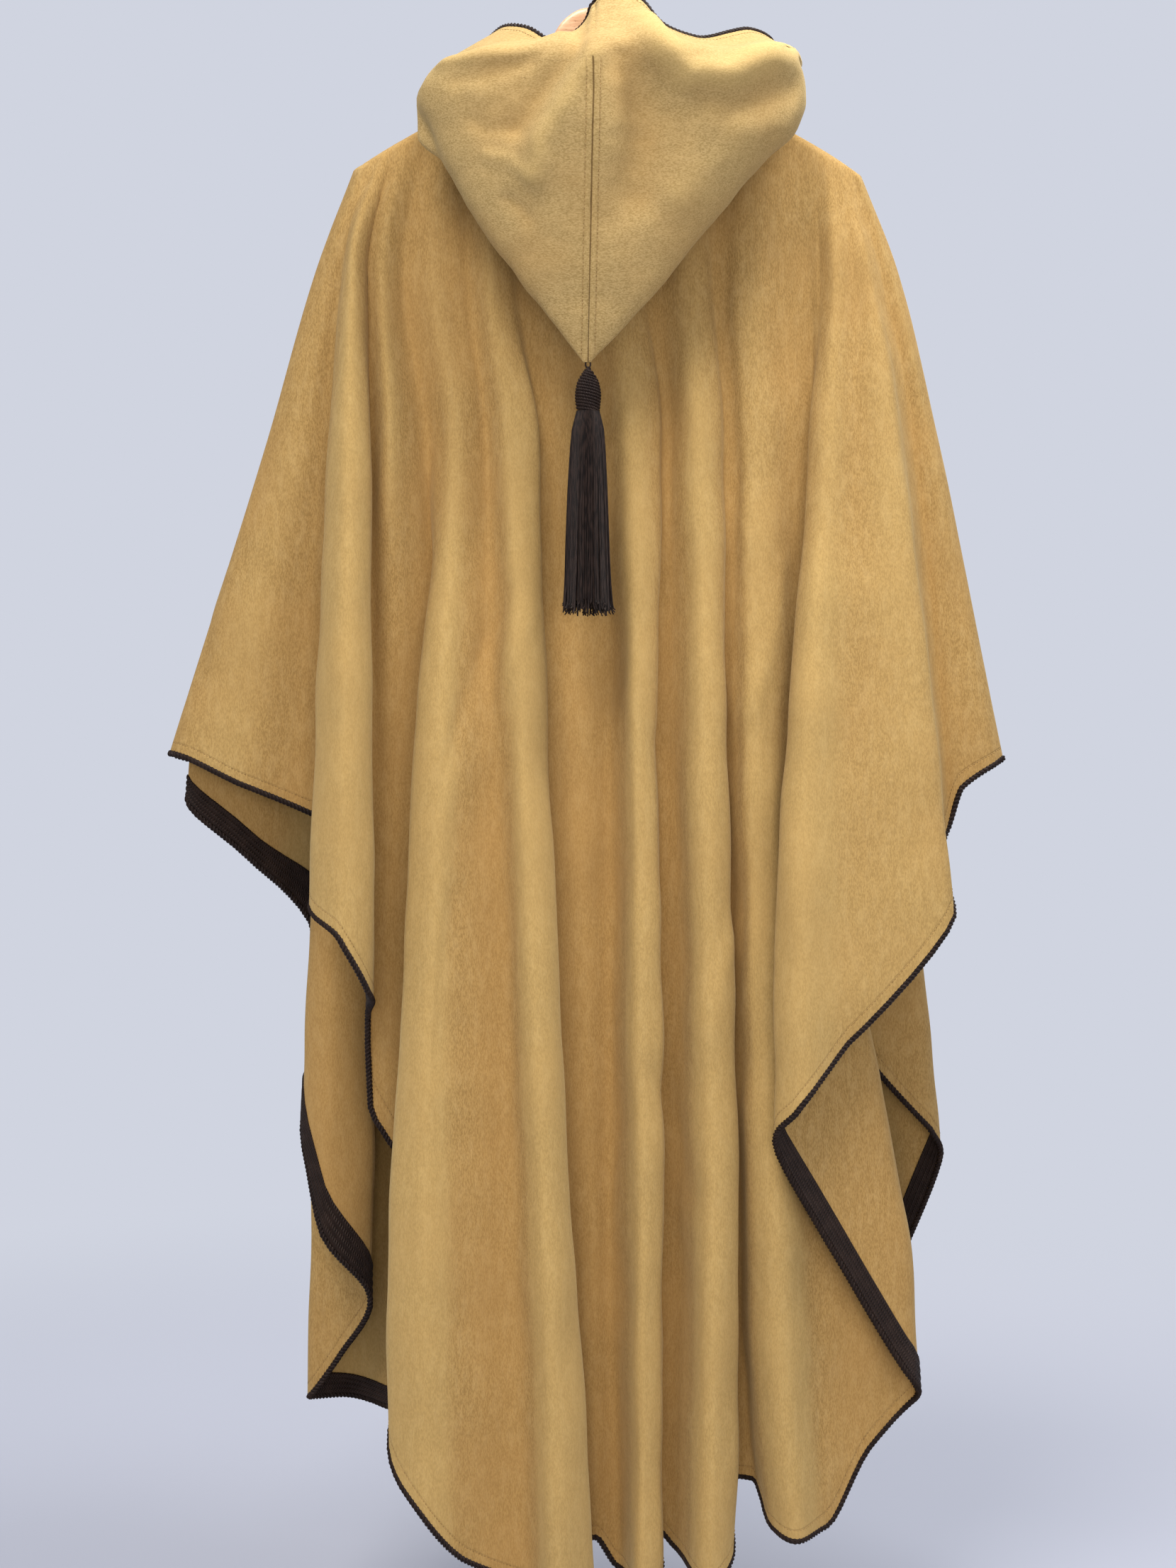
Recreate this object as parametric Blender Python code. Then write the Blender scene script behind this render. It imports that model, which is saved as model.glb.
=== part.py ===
"""Hooded wool cape on a wooden hanger: every cloth piece as a closed 2 mm wall, millimetres turned to metres.

The origin is the seat inside the hanger's hook. The wearer's back faces -Y, the front faces +Y, +Z is up.
"""
import math

import bmesh
import bpy
import numpy as np
from mathutils import Vector

MM = 0.001
WALL = 2.0
GAP = 0.3
CORD_GAP = 0.7
CORD_R = 3.0
CORD_SIDES = 5
BRAID_WIDTH = 25.0
BRAID_THICK = 1.4
SHOULDER_ROUND = 9.0
FULL_DEPTH = 1200.0
NECK_HALF = 80.0
NECK_Z = -130.0
TIP_HALF = 226.0
TIP_DROP = 78.0
BACK_ROWS = 13
FRONT_ROWS = 12
LEVELS = (-300.0, -450.0, -700.0, -950.0, -1200.0, -1450.0)

# Columns: fold | steps to the next fold, height of the edge under it |
# x and depth y at the shoulder, then at each height in LEVELS, all in mm.
BACK_FOLDS = """
left sleeve fold  | 2  -729 | -224   0  -257   0  -300   0  -378   0  -455   0  -533   0  -611   0
left fold round   | 2  -732 | -215  -9  -248 -11  -291 -12  -367 -12  -443 -12  -519 -12  -598 -12
left sleeve panel | 2  -757 | -210  -9  -241 -14  -268 -20  -319 -22  -328 -22  -328 -22  -328 -22
behind ridge 1    | 2  -797 | -206  -9  -234 -15  -243 -16  -240 -11  -235 -10  -235 -10  -235 -10
flap turn         | 2  -822 | -204  -9  -232 -17  -242 -22  -239 -26  -234 -27  -234 -27  -234 -27
ridge 1 left      | 2  -864 | -200  -9  -230 -22  -241 -34  -251 -52  -257 -60  -260 -60  -260 -60
ridge 1 crest     | 2  -891 | -195  -9  -222 -32  -223 -56  -225 -80  -226 -88  -226 -88  -226 -88
ridge 1 right     | 2  -949 | -190  -9  -214 -24  -209 -42  -204 -58  -203 -64  -203 -66  -203 -66
recess 1 turn     | 2 -1008 | -185  -9  -211 -14  -208 -16  -213 -14  -220 -14  -221 -14  -221 -14
ridge 2 crest     | 2 -1077 | -176  -9  -197 -24  -190 -36  -189 -20  -189 -14  -189 -12  -189 -12
ridge 2 right     | 1 -1135 | -167  -9  -186 -17  -172 -22  -160 -14  -152  -8  -152  -8  -152  -8
valley 2          | 2 -1226 | -159  -9  -179 -12  -159 -10  -149 -16  -154 -26  -158 -26  -158 -26
broad fold left   | 2 -1331 | -150  -9  -169 -14  -146 -20  -162 -52  -176 -64  -185 -74  -186 -76
broad fold crest  | 2 -1382 | -137  -9  -151 -20  -133 -30  -141 -70  -151 -84  -157 -94  -153 -96
broad fold hollow | 2 -1423 | -125  -9  -134 -16  -118 -24  -122 -58  -127 -72  -125 -80  -121 -82
ridge 3 left      | 2 -1448 | -114  -9  -120 -12  -104 -16   -98 -46   -87 -56   -78 -62   -71 -64
ridge 3 crest     | 2 -1454 | -101  -9  -103 -24   -83 -36   -73 -68   -61 -82   -49 -94   -41 -98
ridge 3 right     | 2 -1460 |  -87  -9   -86 -18   -60 -28   -52 -48   -40 -58   -24 -66    -9 -68
recess 3 turn     | 1 -1428 |  -74 -17   -77 -11   -58 -10   -58 -16   -49 -14   -37 -12   -23 -10
recess 3 flat     | 2 -1427 |  -52 -24   -51 -13   -30 -14   -23 -20   -19 -20   -12 -18    -6 -16
valley 4          | 3 -1454 |  -23 -28   -17 -10    -1  -9     6 -12     6 -12     7 -12    13 -12
ridge 4 crest     | 3 -1457 |    2 -29     8 -20    22 -30    27 -50    29 -58    32 -62    32 -62
ridge 4 right     | 2 -1452 |   24 -28    28 -16    48 -20    45 -38    49 -46    50 -50    48 -52
recess 5 turn     | 1 -1418 |   39 -26    38 -10    52 -10    47 -14    48 -14    47 -12    45 -12
recess 5          | 2 -1433 |   52 -24    49 -10    59  -9    59 -14    63 -16    65 -14    62 -14
ridge 5 crest     | 2 -1449 |   66 -20    70 -20    81 -30    86 -50    89 -60    92 -68    90 -70
ridge 5 right     | 2 -1430 |   81  -9    87 -17   102 -20   105 -38   113 -46   116 -50   113 -52
recess 6 turn     | 1 -1375 |   93  -9    97 -10   107 -10   108 -16   112 -16   110 -10   109  -8
recess 6          | 2 -1376 |  106  -9   107 -11   115 -12   116 -24   119 -26   122 -12   138 -10
ridge 6 left      | 2 -1408 |  119  -9   118 -16   125 -22   128 -38   130 -44   131 -42   153 -46
ridge 6 crest     | 2 -1414 |  133  -9   135 -17   143 -22   147 -34   150 -44   152 -60   170 -64
valley 7          | 2 -1409 |  147  -9   155 -12   163 -12   171 -16   178 -20   186 -34   194 -40
under layer       | 2 -1346 |  160  -9   172 -11   178  -9   192 -10   213 -14   228 -22   234 -24
side turn back    | 1 -1302 |  171  -9   184 -12   187  -9   208 -10   243 -14   267 -18   281 -20
side turn near    | 2 -1283 |  178  -9   189 -14   188 -16   204 -24   241 -30   265 -34   279 -36
inner layer       | 2 -1173 |  185  -9   193 -16   186 -21   184 -36   194 -46   206 -52   208 -54
side fold left    | 2 -1066 |  191  -9   196 -20   184 -28   160 -56   146 -72   149 -80   149 -80
side fold crest   | 2 -1034 |  196  -9   204 -28   195 -42   174 -78   164 -96   167 -100   167 -100
side panel hollow | 2  -981 |  203  -9   217 -25   220 -38   213 -66   208 -82   208 -82   208 -82
side ridge crest  | 2  -872 |  210  -9   232 -26   255 -40   280 -62   301 -72   301 -72   301 -72
side ridge flank  | 2  -833 |  215  -9   240 -19   268 -24   295 -44   313 -50   313 -50   313 -50
side ridge turn   | 2  -797 |  219  -9   245 -13   273 -13   298 -18   310 -20   310 -20   310 -20
right sleeve panel| 2  -754 |  222  -9   251 -12   284 -13   321 -18   357 -20   395 -20   432 -20
right fold round  | 2  -736 |  225  -9   254 -11   290 -12   339 -12   390 -12   437 -12   485 -12
right sleeve fold | 0  -733 |  230   0   262   0   298   0   349   0   401   0   450   0   500   0
"""
LEFT_FOLDS = """
sleeve fold       | 2  -729 | -224   0  -257   0  -300   0  -378   0  -455   0  -533   0  -611   0
fold round        | 2  -771 | -217   9  -251  12  -294  12  -371  14  -377  14  -377  14  -377  14
sleeve panel      | 2  -823 | -205   9  -239  17  -268  22  -323  26  -323  30  -330  30  -330  30
side edge hollow  | 2  -886 | -186   9  -222  20  -246  30  -276  40  -275  58  -276  60  -276  60
side roll left    | 2 -1056 | -173   9  -213  22  -236  36  -253  46  -262  56  -275  58  -275  58
side roll crest   | 2 -1169 | -161   9  -203  21  -226  32  -234  38  -245  46  -251  50  -251  50
side roll right   | 2 -1231 | -148   9  -194  23  -216  36  -219  48  -220  58  -221  62  -221  62
second layer      | 2 -1287 | -135   9  -184  25  -208  42  -225  62  -241  76  -245  80  -245  80
second turn       | 2 -1331 | -126   9  -172  28  -199  50  -231  76  -265  88  -274  92  -274  92
front fold 1      | 2 -1367 | -116   9  -156  33  -181  60  -210  96  -229 112  -236 118  -236 118
front hollow 1    | 2 -1362 | -103   9  -137  34  -151  54  -166  84  -174  94  -175  98  -175  98
front fold 2      | 2 -1366 |  -91   9  -114  42  -119  64  -124  96  -126 108  -128 114  -128 114
front hollow 2    | 2 -1361 |  -72  23   -89  44   -86  58   -87  82   -87  92   -87  96   -87  96
front fold 3      | 2 -1358 |  -46  37   -53  48   -50  62   -50  92   -51 102   -51 108   -51 108
front opening     | 0 -1308 |   -9  43    -9  50   -10  60   -11  84   -13  94   -13  98   -13  98
"""
RIGHT_FOLDS = """
sleeve fold       | 2  -733 |  230   0   262   0   298   0   349   0   401   0   450   0   500   0
fold round        | 2  -746 |  226   9   257  12   293  12   344  12   356  12   356  12   356  12
sleeve panel      | 2  -823 |  216   9   249  17   274  22   301  26   311  30   311  30   311  30
side edge turn    | 2  -966 |  200   9   237  20   251  26   241  32   224  36   219  38   219  38
under turn        | 2  -993 |  190   9   231  22   249  32   245  46   231  50   227  52   227  52
side roll edge    | 2 -1076 |  181   9   224  24   246  38   261  52   291  60   310  64   314  64
side roll turn    | 2 -1102 |  171   9   216  26   242  44   264  66   297  76   320  80   326  80
inner face        | 2 -1185 |  158   9   204  30   231  54   245  82   268  92   285  96   285  96
front fold 1      | 2 -1297 |  142   9   186  34   209  62   216  98   231 112   235 118   235 118
front hollow 1    | 2 -1355 |  123   9   160  35   172  56   173  84   177  94   179  98   179  98
front fold 2      | 2 -1367 |  101   9   129  43   134  66   133  98   133 110   134 116   134 116
front hollow 2    | 2 -1361 |   76  19    90  44    87  58    88  82    89  92    89  96    89  96
front fold 3      | 2 -1358 |   47  36    48  48    45  62    46  92    46 102    46 108    46 108
front opening     | 0 -1308 |    9  43     9  50    11  60    12  84    14  94    14  98    14  98
"""

# Columns: station round the hood's edge, its x, y, z, then x, y, z of the fold that stands
# over the neck, in mm. The first ones follow the face opening
# from the left front of the neck over the back to the right front, the last ones the neck seam.
HOOD_EDGE = """
left front   -36   60 -148  -100   58 -120
left side    -86   56 -104  -134   36 -112
left top    -124    4  -90  -153   -8 -110
left crest   -99  -45  -95  -142  -50 -114
left dip     -70  -65 -103  -108  -80 -122
mid dip      -43  -75 -121   -72  -94 -132
mid rise     -20  -78 -108   -38 -100 -124
mid side      -7  -80  -86   -12 -103 -116
mid crest     11  -80  -76    10 -104 -112
right fall    30  -80  -86    36 -103 -116
right slope   51  -78 -107    64  -98 -126
right dip     86  -70 -116   100  -88 -128
right crest  127  -50 -102   140  -66 -118
right top    153  -18  -98   168  -30 -114
right side   138   34  -98   164   16 -112
right turn    86   56 -104   134   42 -114
right front   36   60 -148   100   58 -120
seam right 1  36   40 -175    72   40 -144
seam right 2  76   19 -133    98   18 -116
seam right 3  81    0 -127   106    0 -110
seam right 4  70  -16 -131    90  -22 -112
seam right 5  38  -27 -140    48  -36 -118
seam back      0  -29 -144     0  -40 -120
seam left 5  -38  -27 -140   -48  -36 -118
seam left 4  -70  -16 -131   -90  -22 -112
seam left 3  -81    0 -127  -106    0 -110
seam left 2  -76   19 -133   -98   18 -116
seam left 1  -36   40 -175   -72   40 -144
"""
FACE_STATIONS = 17

# Columns: ring, x left, x right, side y, height z, y of the visible side, y of the under side, mm.
HOOD_RINGS = """
collar  -167  178  -58 -146 -122  -36
upper   -139  140  -66 -219 -118  -44
middle   -98   80  -71 -290 -104  -52
lower    -54   31  -74 -349  -90  -62
"""
HOOD_TIP = (-14.3, -74.0, -396.0)
HOOD_STEPS = 11

# Columns: x, z of the middle, half length, half width, turn in degrees, height towards the viewer, mm.
HOOD_BULGES = """
  -2 -165   80  22   90   9
  62 -150   75  20  -28   9
 -40 -215   75  24   52   7
  42 -205   60  26   60  -8
 -85 -180   60  26   70  -6
"""

TASSEL_TOP = -398.6
TASSEL_X = -14.3
TASSEL_Y = -74.0
# Columns: drop below the tassel's top, radius, mm.
TASSEL_HEAD = """
 0    1.6
 3    2.0
 8    6.0
 16   9.6
 26  11.2
 34  10.4
 40   9.8
 43  12.6
"""
SKIRT_DROP = 214.5
SKIRT_RINGS = ((1, 0.0, 0.0), (7, 4.2, 8.0), (13, 7.8, 14.5), (19, 11.2, 21.0))
STRAND_R = 1.0

HANGER_HALF_THICK = 6.0
# Columns: x, z of the top line, z of the underside, mm; mirrored to the other arm.
HANGER_PROFILE = """
  0   -63 -112
 20   -66 -112
 36   -76 -116
 50   -98 -128
 66  -124 -148
 80  -134.2 -163
 98  -143.1 -174
128  -159.1 -190
164  -178.3 -211
188  -192 -224
206  -202.7 -233
217  -210.9 -237
"""
HOOK_WIRE = 2.0
HOOK_RADIUS = 18.0
HOOK_SIDES = 8

COLOURS = {
    "wool": (0.475, 0.300, 0.110, 1.0),
    "trim": (0.030, 0.019, 0.015, 1.0),
    "wood": (0.730, 0.456, 0.262, 1.0),
    "steel": (0.600, 0.600, 0.610, 1.0),
}


def fold_table(text):
    """Rows of a fold table: names, steps, edge heights, x and y by level."""
    names, steps, hems, xs, ys = [], [], [], [], []
    for line in text.strip().splitlines():
        name, middle, values = line.split("|")
        numbers = [float(v) for v in values.split()]
        step, hem = middle.split()
        names.append(name.strip())
        steps.append(int(step))
        hems.append(float(hem))
        xs.append(numbers[0::2])
        ys.append(numbers[1::2])
    return names, steps, np.array(hems), np.array(xs), np.array(ys)


def number_table(text, skip=0):
    """The numbers of each line of a table, after its name of so many words."""
    rows = []
    for line in text.strip().splitlines():
        words = line.split()
        numbers = [w for w in words if w.lstrip("-").replace(".", "").isdigit()]
        rows.append([float(n) for n in numbers[-skip:]] if skip else [float(n) for n in numbers])
    return np.array(rows)


def monotone(knots, values, at):
    """Smooth curve through the knots that never overshoots them; knots ascend."""
    knots = np.asarray(knots, float)
    values = np.asarray(values, float)
    at = np.clip(np.asarray(at, float), knots[0], knots[-1])
    h = np.diff(knots)
    d = np.diff(values) / h
    m = np.zeros(len(knots))
    for k in range(1, len(knots) - 1):
        if d[k - 1] * d[k] > 0.0:
            w1 = 2.0 * h[k] + h[k - 1]
            w2 = h[k] + 2.0 * h[k - 1]
            m[k] = (w1 + w2) / (w1 / d[k - 1] + w2 / d[k])
    m[0] = d[0]
    m[-1] = d[-1]
    k = np.clip(np.searchsorted(knots, at, side="right") - 1, 0, len(h) - 1)
    t = (at - knots[k]) / h[k]
    a = (1.0 + 2.0 * t) * (1.0 - t) ** 2
    b = t * (1.0 - t) ** 2
    c = t * t * (3.0 - 2.0 * t)
    e = t * t * (t - 1.0)
    return a * values[k] + b * h[k] * m[k] + c * values[k + 1] + e * h[k] * m[k + 1]


def rounded(p0, p1, p2, p3, u):
    """Centripetal curve between p1 and p2 at fraction u; arrays of 2-D points."""
    t1 = np.sqrt(np.linalg.norm(p1 - p0, axis=1)) + 1e-6
    t2 = t1 + np.sqrt(np.linalg.norm(p2 - p1, axis=1)) + 1e-6
    t3 = t2 + np.sqrt(np.linalg.norm(p3 - p2, axis=1)) + 1e-6
    t = t1 + (t2 - t1) * u
    t, t1, t2, t3 = (v[:, None] for v in (t, t1, t2, t3))
    a1 = p0 + (p1 - p0) * t / t1
    a2 = p1 + (p2 - p1) * (t - t1) / (t2 - t1)
    a3 = p2 + (p3 - p2) * (t - t2) / (t3 - t2)
    b1 = a1 + (a2 - a1) * t / t2
    b2 = a2 + (a3 - a2) * (t - t1) / (t3 - t1)
    return b1 + (b2 - b1) * (t - t1) / (t2 - t1)


def shoulder(x):
    """Height of the fold over the hanger at x, level across the neck."""
    f = max(0.0, (abs(x) - NECK_HALF) / (TIP_HALF - NECK_HALF))
    return NECK_Z - TIP_DROP * f - 6.0 * f ** 6


def columns_of(steps):
    """Fold index and fraction of every column of the cloth."""
    columns = []
    for i, n in enumerate(steps[:-1]):
        columns += [(i, k / n) for k in range(n)]
    columns.append((len(steps) - 2, 1.0))
    return columns


def cape_sheet(text, side, rows, open_end):
    """Middle surface of a cape sheet as points[column, row], with its table of columns.

    side is -1 for the back and 1 for a front. Rows run from the shoulder to the edge; the
    last but one is the upper line of the braid. open_end: the last fold is the front opening.
    """
    names, steps, hems, xs, ys = fold_table(text)
    columns = columns_of(steps)
    where = np.array([i + u for i, u in columns])
    index = np.arange(len(names), dtype=float)
    x_top = monotone(index, xs[:, 0], where)
    edge = monotone(index, hems, where)
    top = np.array([shoulder(x) for x in x_top])
    neck = np.clip(1.0 - (x_top / NECK_HALF) ** 2, 0.0, 1.0)
    top = top - (17.0 if side < 0 else 60.0) * neck
    points = np.zeros((len(columns), rows + 5, 3))
    arc = np.ones(len(columns))
    braid = np.full(len(columns), BRAID_WIDTH)
    for lap in range(2):
        for c, (i, u) in enumerate(columns):
            up = edge[c] + braid[c]
            run = top[c] - SHOULDER_ROUND
            heights = [top[c], top[c] - 1.2, top[c] - 4.5, run]
            power = FULL_DEPTH / (run - up)
            for k in range(1, rows + 1):
                share = 0.8 * (1.0 - (1.0 - k / rows) ** power) + 0.2 * k / rows
                heights.append(run + (up - run) * share)
            z = np.array(heights + [edge[c]])
            near = []
            for j in (i - 1, i, i + 1, i + 2):
                k = min(max(j, 0), len(names) - 1)
                knots = [-z0 for z0 in (shoulder(xs[k, 0]),) + LEVELS]
                px = monotone(knots, xs[k], -z)
                py = monotone(knots, ys[k], -z)
                near.append(np.stack([px, py], axis=1))
            if i == 0:
                near[0] = near[2] * (1.0, -1.0)
            if i + 2 > len(names) - 1:
                near[3] = 2.0 * near[2] - near[1] if open_end else near[1] * (1.0, -1.0)
            flat = rounded(near[0], near[1], near[2], near[3], np.full(len(z), u))
            depth = np.clip((shoulder(x_top[c]) - z) / SHOULDER_ROUND, 0.0, 1.0)
            flat[:, 1] *= np.sqrt(1.0 - (1.0 - depth) ** 2)
            if side < 0:
                flat[:, 1] = np.minimum(flat[:, 1], 0.0)
            else:
                flat[:, 1] = np.maximum(flat[:, 1], 0.0)
            points[c, :, 0:2] = flat
            points[c, :, 2] = z
        hem = points[:, -1]
        step = np.linalg.norm(np.diff(hem[:, :2], axis=0), axis=1) + 0.5
        slope = np.abs(np.diff(hem[:, 2])) / step
        slope = np.concatenate([slope[:1], (slope[1:] + slope[:-1]) / 2.0, slope[-1:]])
        for soften in range(4):
            slope[1:-1] = (slope[:-2] + 2.0 * slope[1:-1] + slope[2:]) / 4.0
        braid = BRAID_WIDTH * np.minimum(np.sqrt(1.0 + slope ** 2), 3.0)
    shut = side * GAP / 2.0
    if side < 0:
        points[:, :, 1] = np.minimum(points[:, :, 1], shut)
    else:
        points[:, :, 1] = np.maximum(points[:, :, 1], shut)
    return points


def grid_normals(points):
    """Unit normals of a grid of points[column, row], averaged from its faces."""
    a = points[1:, 1:] - points[:-1, :-1]
    b = points[:-1, 1:] - points[1:, :-1]
    face = np.cross(a, b)
    normals = np.zeros_like(points)
    normals[1:, 1:] += face
    normals[:-1, 1:] += face
    normals[1:, :-1] += face
    normals[:-1, :-1] += face
    length = np.linalg.norm(normals, axis=2, keepdims=True)
    return normals / np.maximum(length, 1e-9)


def cape_normals(points, side, open_end):
    """Normals pointing out of the garment; on the shoulder fold they lie in its plane."""
    normals = grid_normals(points)
    if normals[:, :, 1].sum() * side < 0.0:
        normals = -normals
    for line in ([0] if open_end else [0, -1]):
        normals[line, :, 1] = 0.0
    over = np.abs(points[:, 0, 0]) >= NECK_HALF
    normals[over, 0, 1] = 0.0
    length = np.linalg.norm(normals, axis=2, keepdims=True)
    return normals / np.maximum(length, 1e-9)


def new_object(name, verts, faces, colour):
    """A closed mesh object in metres with one material."""
    mesh = bpy.data.meshes.new(name)
    mesh.from_pydata([tuple(np.asarray(v) * MM) for v in verts], [], faces)
    bm = bmesh.new()
    bm.from_mesh(mesh)
    bmesh.ops.recalc_face_normals(bm, faces=bm.faces)
    if bm.calc_volume(signed=True) < 0.0:
        bmesh.ops.reverse_faces(bm, faces=bm.faces)
    bm.to_mesh(mesh)
    bm.free()
    obj = bpy.data.objects.new(name, mesh)
    bpy.context.scene.collection.objects.link(obj)
    material = bpy.data.materials.get(colour)
    if material is None:
        material = bpy.data.materials.new(colour)
        material.use_nodes = True
        shader = material.node_tree.nodes["Principled BSDF"]
        shader.inputs["Base Color"].default_value = COLOURS[colour]
        shader.inputs["Roughness"].default_value = 0.3 if colour == "steel" else 0.9
        shader.inputs["Metallic"].default_value = 1.0 if colour == "steel" else 0.0
    mesh.materials.append(material)
    return obj


def wall_between(name, outer, inner, colour, closed=False):
    """A closed wall between two grids of points[column, row]; closed joins last column to first."""
    cols, rows = outer.shape[0], outer.shape[1]
    verts = np.concatenate([outer.reshape(-1, 3), inner.reshape(-1, 3)])
    base = cols * rows
    faces = []
    spans = cols if closed else cols - 1

    def quad(a, b, c, d):
        faces.append((a, b, c))
        faces.append((a, c, d))

    for c in range(spans):
        n = (c + 1) % cols
        for r in range(rows - 1):
            a, b = c * rows + r, n * rows + r
            quad(a, b, b + 1, a + 1)
            quad(base + a, base + a + 1, base + b + 1, base + b)
        a, b = c * rows, n * rows
        quad(a, base + a, base + b, b)
        a, b = c * rows + rows - 1, n * rows + rows - 1
        quad(a, b, base + b, base + a)
    if not closed:
        for r in range(rows - 1):
            quad(r, r + 1, base + r + 1, base + r)
            a = (cols - 1) * rows + r
            quad(a, base + a, base + a + 1, a + 1)
    return new_object(name, verts, faces, colour)


def tube(name, path, across, up, radius, sides, colour, closed=False):
    """A round bar along a path, its section set by two unit directions at each point."""
    verts, faces = [], []
    for p, u, v in zip(path, across, up):
        for k in range(sides):
            a = 2.0 * math.pi * (k + 0.5) / sides
            verts.append(p + radius * (math.cos(a) * u + math.sin(a) * v))
    count = len(path)
    for i in range(count if closed else count - 1):
        n = (i + 1) % count
        for k in range(sides):
            m = (k + 1) % sides
            faces.append((i * sides + k, i * sides + m, n * sides + m))
            faces.append((i * sides + k, n * sides + m, n * sides + k))
    if not closed:
        for end in (0, (count - 1) * sides):
            faces += [(end, end + k, end + k + 1) for k in range(1, sides - 1)]
    return new_object(name, verts, faces, colour)


def edge_of(points, normals, open_end):
    """Edge line of a sheet with its outward directions and normals.

    The line runs along the hem and, on a front, on up the opening to the neck.
    """
    line = [points[c, -1] for c in range(len(points))]
    inside = [points[c, -2] for c in range(len(points))]
    normal = [normals[c, -1] for c in range(len(points))]
    if open_end:
        corner = len(line) - 1
        for r in range(points.shape[1] - 2, -1, -1):
            line.append(points[-1, r])
            inside.append(points[-2, r])
            normal.append(normals[-1, r])
        inside[corner] = points[-2, -2]
    line, inside, normal = np.array(line), np.array(inside), np.array(normal)
    tangent = np.gradient(line, axis=0)
    tangent /= np.linalg.norm(tangent, axis=1, keepdims=True)
    away = np.cross(tangent, normal)
    away /= np.linalg.norm(away, axis=1, keepdims=True)
    turn = np.sign(np.sum(away * (line - inside), axis=1, keepdims=True))
    away *= np.where(np.sum(turn) < 0.0, -1.0, 1.0)
    return line, away, normal


def smooth_line(values, laps):
    """Soften a line of directions and make them unit again."""
    for lap in range(laps):
        soft = values.copy()
        soft[1:-1] = (values[:-2] + 2.0 * values[1:-1] + values[2:]) / 4.0
        values = soft / np.linalg.norm(soft, axis=1, keepdims=True)
    return values


def edge_cord(name, points, normals, open_end):
    """The thin cord sewn along the cut edge."""
    line, away, normal = edge_of(points, normals, open_end)
    away = smooth_line(away, 1)
    path = line + away * (CORD_R + CORD_GAP)
    side = 1.0 if open_end else -1.0
    for end in ([0] if open_end else [0, -1]):
        out = math.copysign(3.5, line[end][0])
        path[end] = line[end] + (out, side * (CORD_R + 0.8), -CORD_R - 3.0)
        path[1 if end == 0 else -2] += away[1 if end == 0 else -2] * 1.5
    tangent = np.gradient(path, axis=0)
    tangent /= np.linalg.norm(tangent, axis=1, keepdims=True)
    up = np.cross(tangent, away)
    up /= np.linalg.norm(up, axis=1, keepdims=True)
    return tube(name, path, away, up, CORD_R, CORD_SIDES, "trim")


def edge_braid(name, points, normals, open_end):
    """The wide braid on the inner face, made from the sheet's own points moved inwards."""
    near = points - normals * (WALL / 2.0 + GAP)
    far = near - normals * BRAID_THICK
    if not open_end:
        return wall_between(name, near[1:-1, -2:], far[1:-1, -2:], "trim")
    rows = points.shape[1]
    keep = slice(1, len(points) - 1)
    first_near, first_far = near[keep, -2:], far[keep, -2:]
    return wall_between(name, first_near, first_far, "trim")


def cape_piece(name, text, side, rows, open_end):
    """One sheet of the cape with its edge cord and inner braid."""
    points = cape_sheet(text, side, rows, open_end)
    normals = cape_normals(points, side, open_end)
    outer = points + normals * WALL / 2.0
    inner = points - normals * WALL / 2.0
    wall_between(name, outer, inner, "wool")
    edge_cord(name + "_cord", points, normals, open_end)
    edge_braid(name + "_braid", points, normals, open_end)


def hood_bulge(x, z):
    """Soft relief of the hood's visible side."""
    rise = 0.0
    for cx, cz, half_l, half_w, turn, height in number_table(HOOD_BULGES):
        c, s = math.cos(math.radians(turn)), math.sin(math.radians(turn))
        u = (x - cx) * c + (z - cz) * s
        v = -(x - cx) * s + (z - cz) * c
        rise += height * math.exp(-((u / half_l) ** 2) - (v / half_w) ** 2)
    return rise


def hood_surface(steps, per_station):
    """Middle surface of the hood as points[station, ring] from the edge to the tip."""
    stations = number_table(HOOD_EDGE, 6)
    count = len(stations)
    rings = number_table(HOOD_RINGS, 6)
    loops = [stations[:, :3], stations[:, 3:]]
    for left, right, side_y, height, seen_y, under_y in rings:
        loop = np.zeros((count, 3))
        for j in range(count):
            if j < FACE_STATIONS:
                a = math.pi * j / (FACE_STATIONS - 1)
                y = side_y + (seen_y - side_y) * math.sin(a) ** 0.8
            else:
                a = math.pi * (1.0 - (j - FACE_STATIONS + 1) / (count - FACE_STATIONS + 1))
                y = side_y + (under_y - side_y) * math.sin(a) ** 0.8
            x = left + (right - left) * (1.0 - math.cos(a)) / 2.0
            loop[j] = (x, y, height)
            if j < FACE_STATIONS:
                loop[j, 1] -= hood_bulge(x, height) * math.sin(a)
        loops.append(loop)
    loops = np.array(loops)
    tip = np.array(HOOD_TIP)
    close = tip + (loops[-1] - tip) * 0.16
    loops = np.concatenate([loops, close[None]])
    knots = np.array([0.0, 0.8, 1.7, 2.7, 3.6, 4.3, 4.9])
    at = np.linspace(0.0, knots[-1], steps + 1)
    line = np.zeros((count, steps + 1, 3))
    for j in range(count):
        for k in range(3):
            line[j, :, k] = monotone(knots, loops[:, j, k], at)
    if per_station == 1:
        return line
    fine = []
    for j in range(count):
        p0, p1, p2, p3 = (line[(j + d) % count] for d in (-1, 0, 1, 2))
        for k in range(per_station):
            t = k / per_station
            a = -0.5 * p0 + 1.5 * p1 - 1.5 * p2 + 0.5 * p3
            b = p0 - 2.5 * p1 + 2.0 * p2 - 0.5 * p3
            fine.append(((a * t + b) * t + (p2 - p0) / 2.0) * t + p1)
    return np.array(fine)


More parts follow.
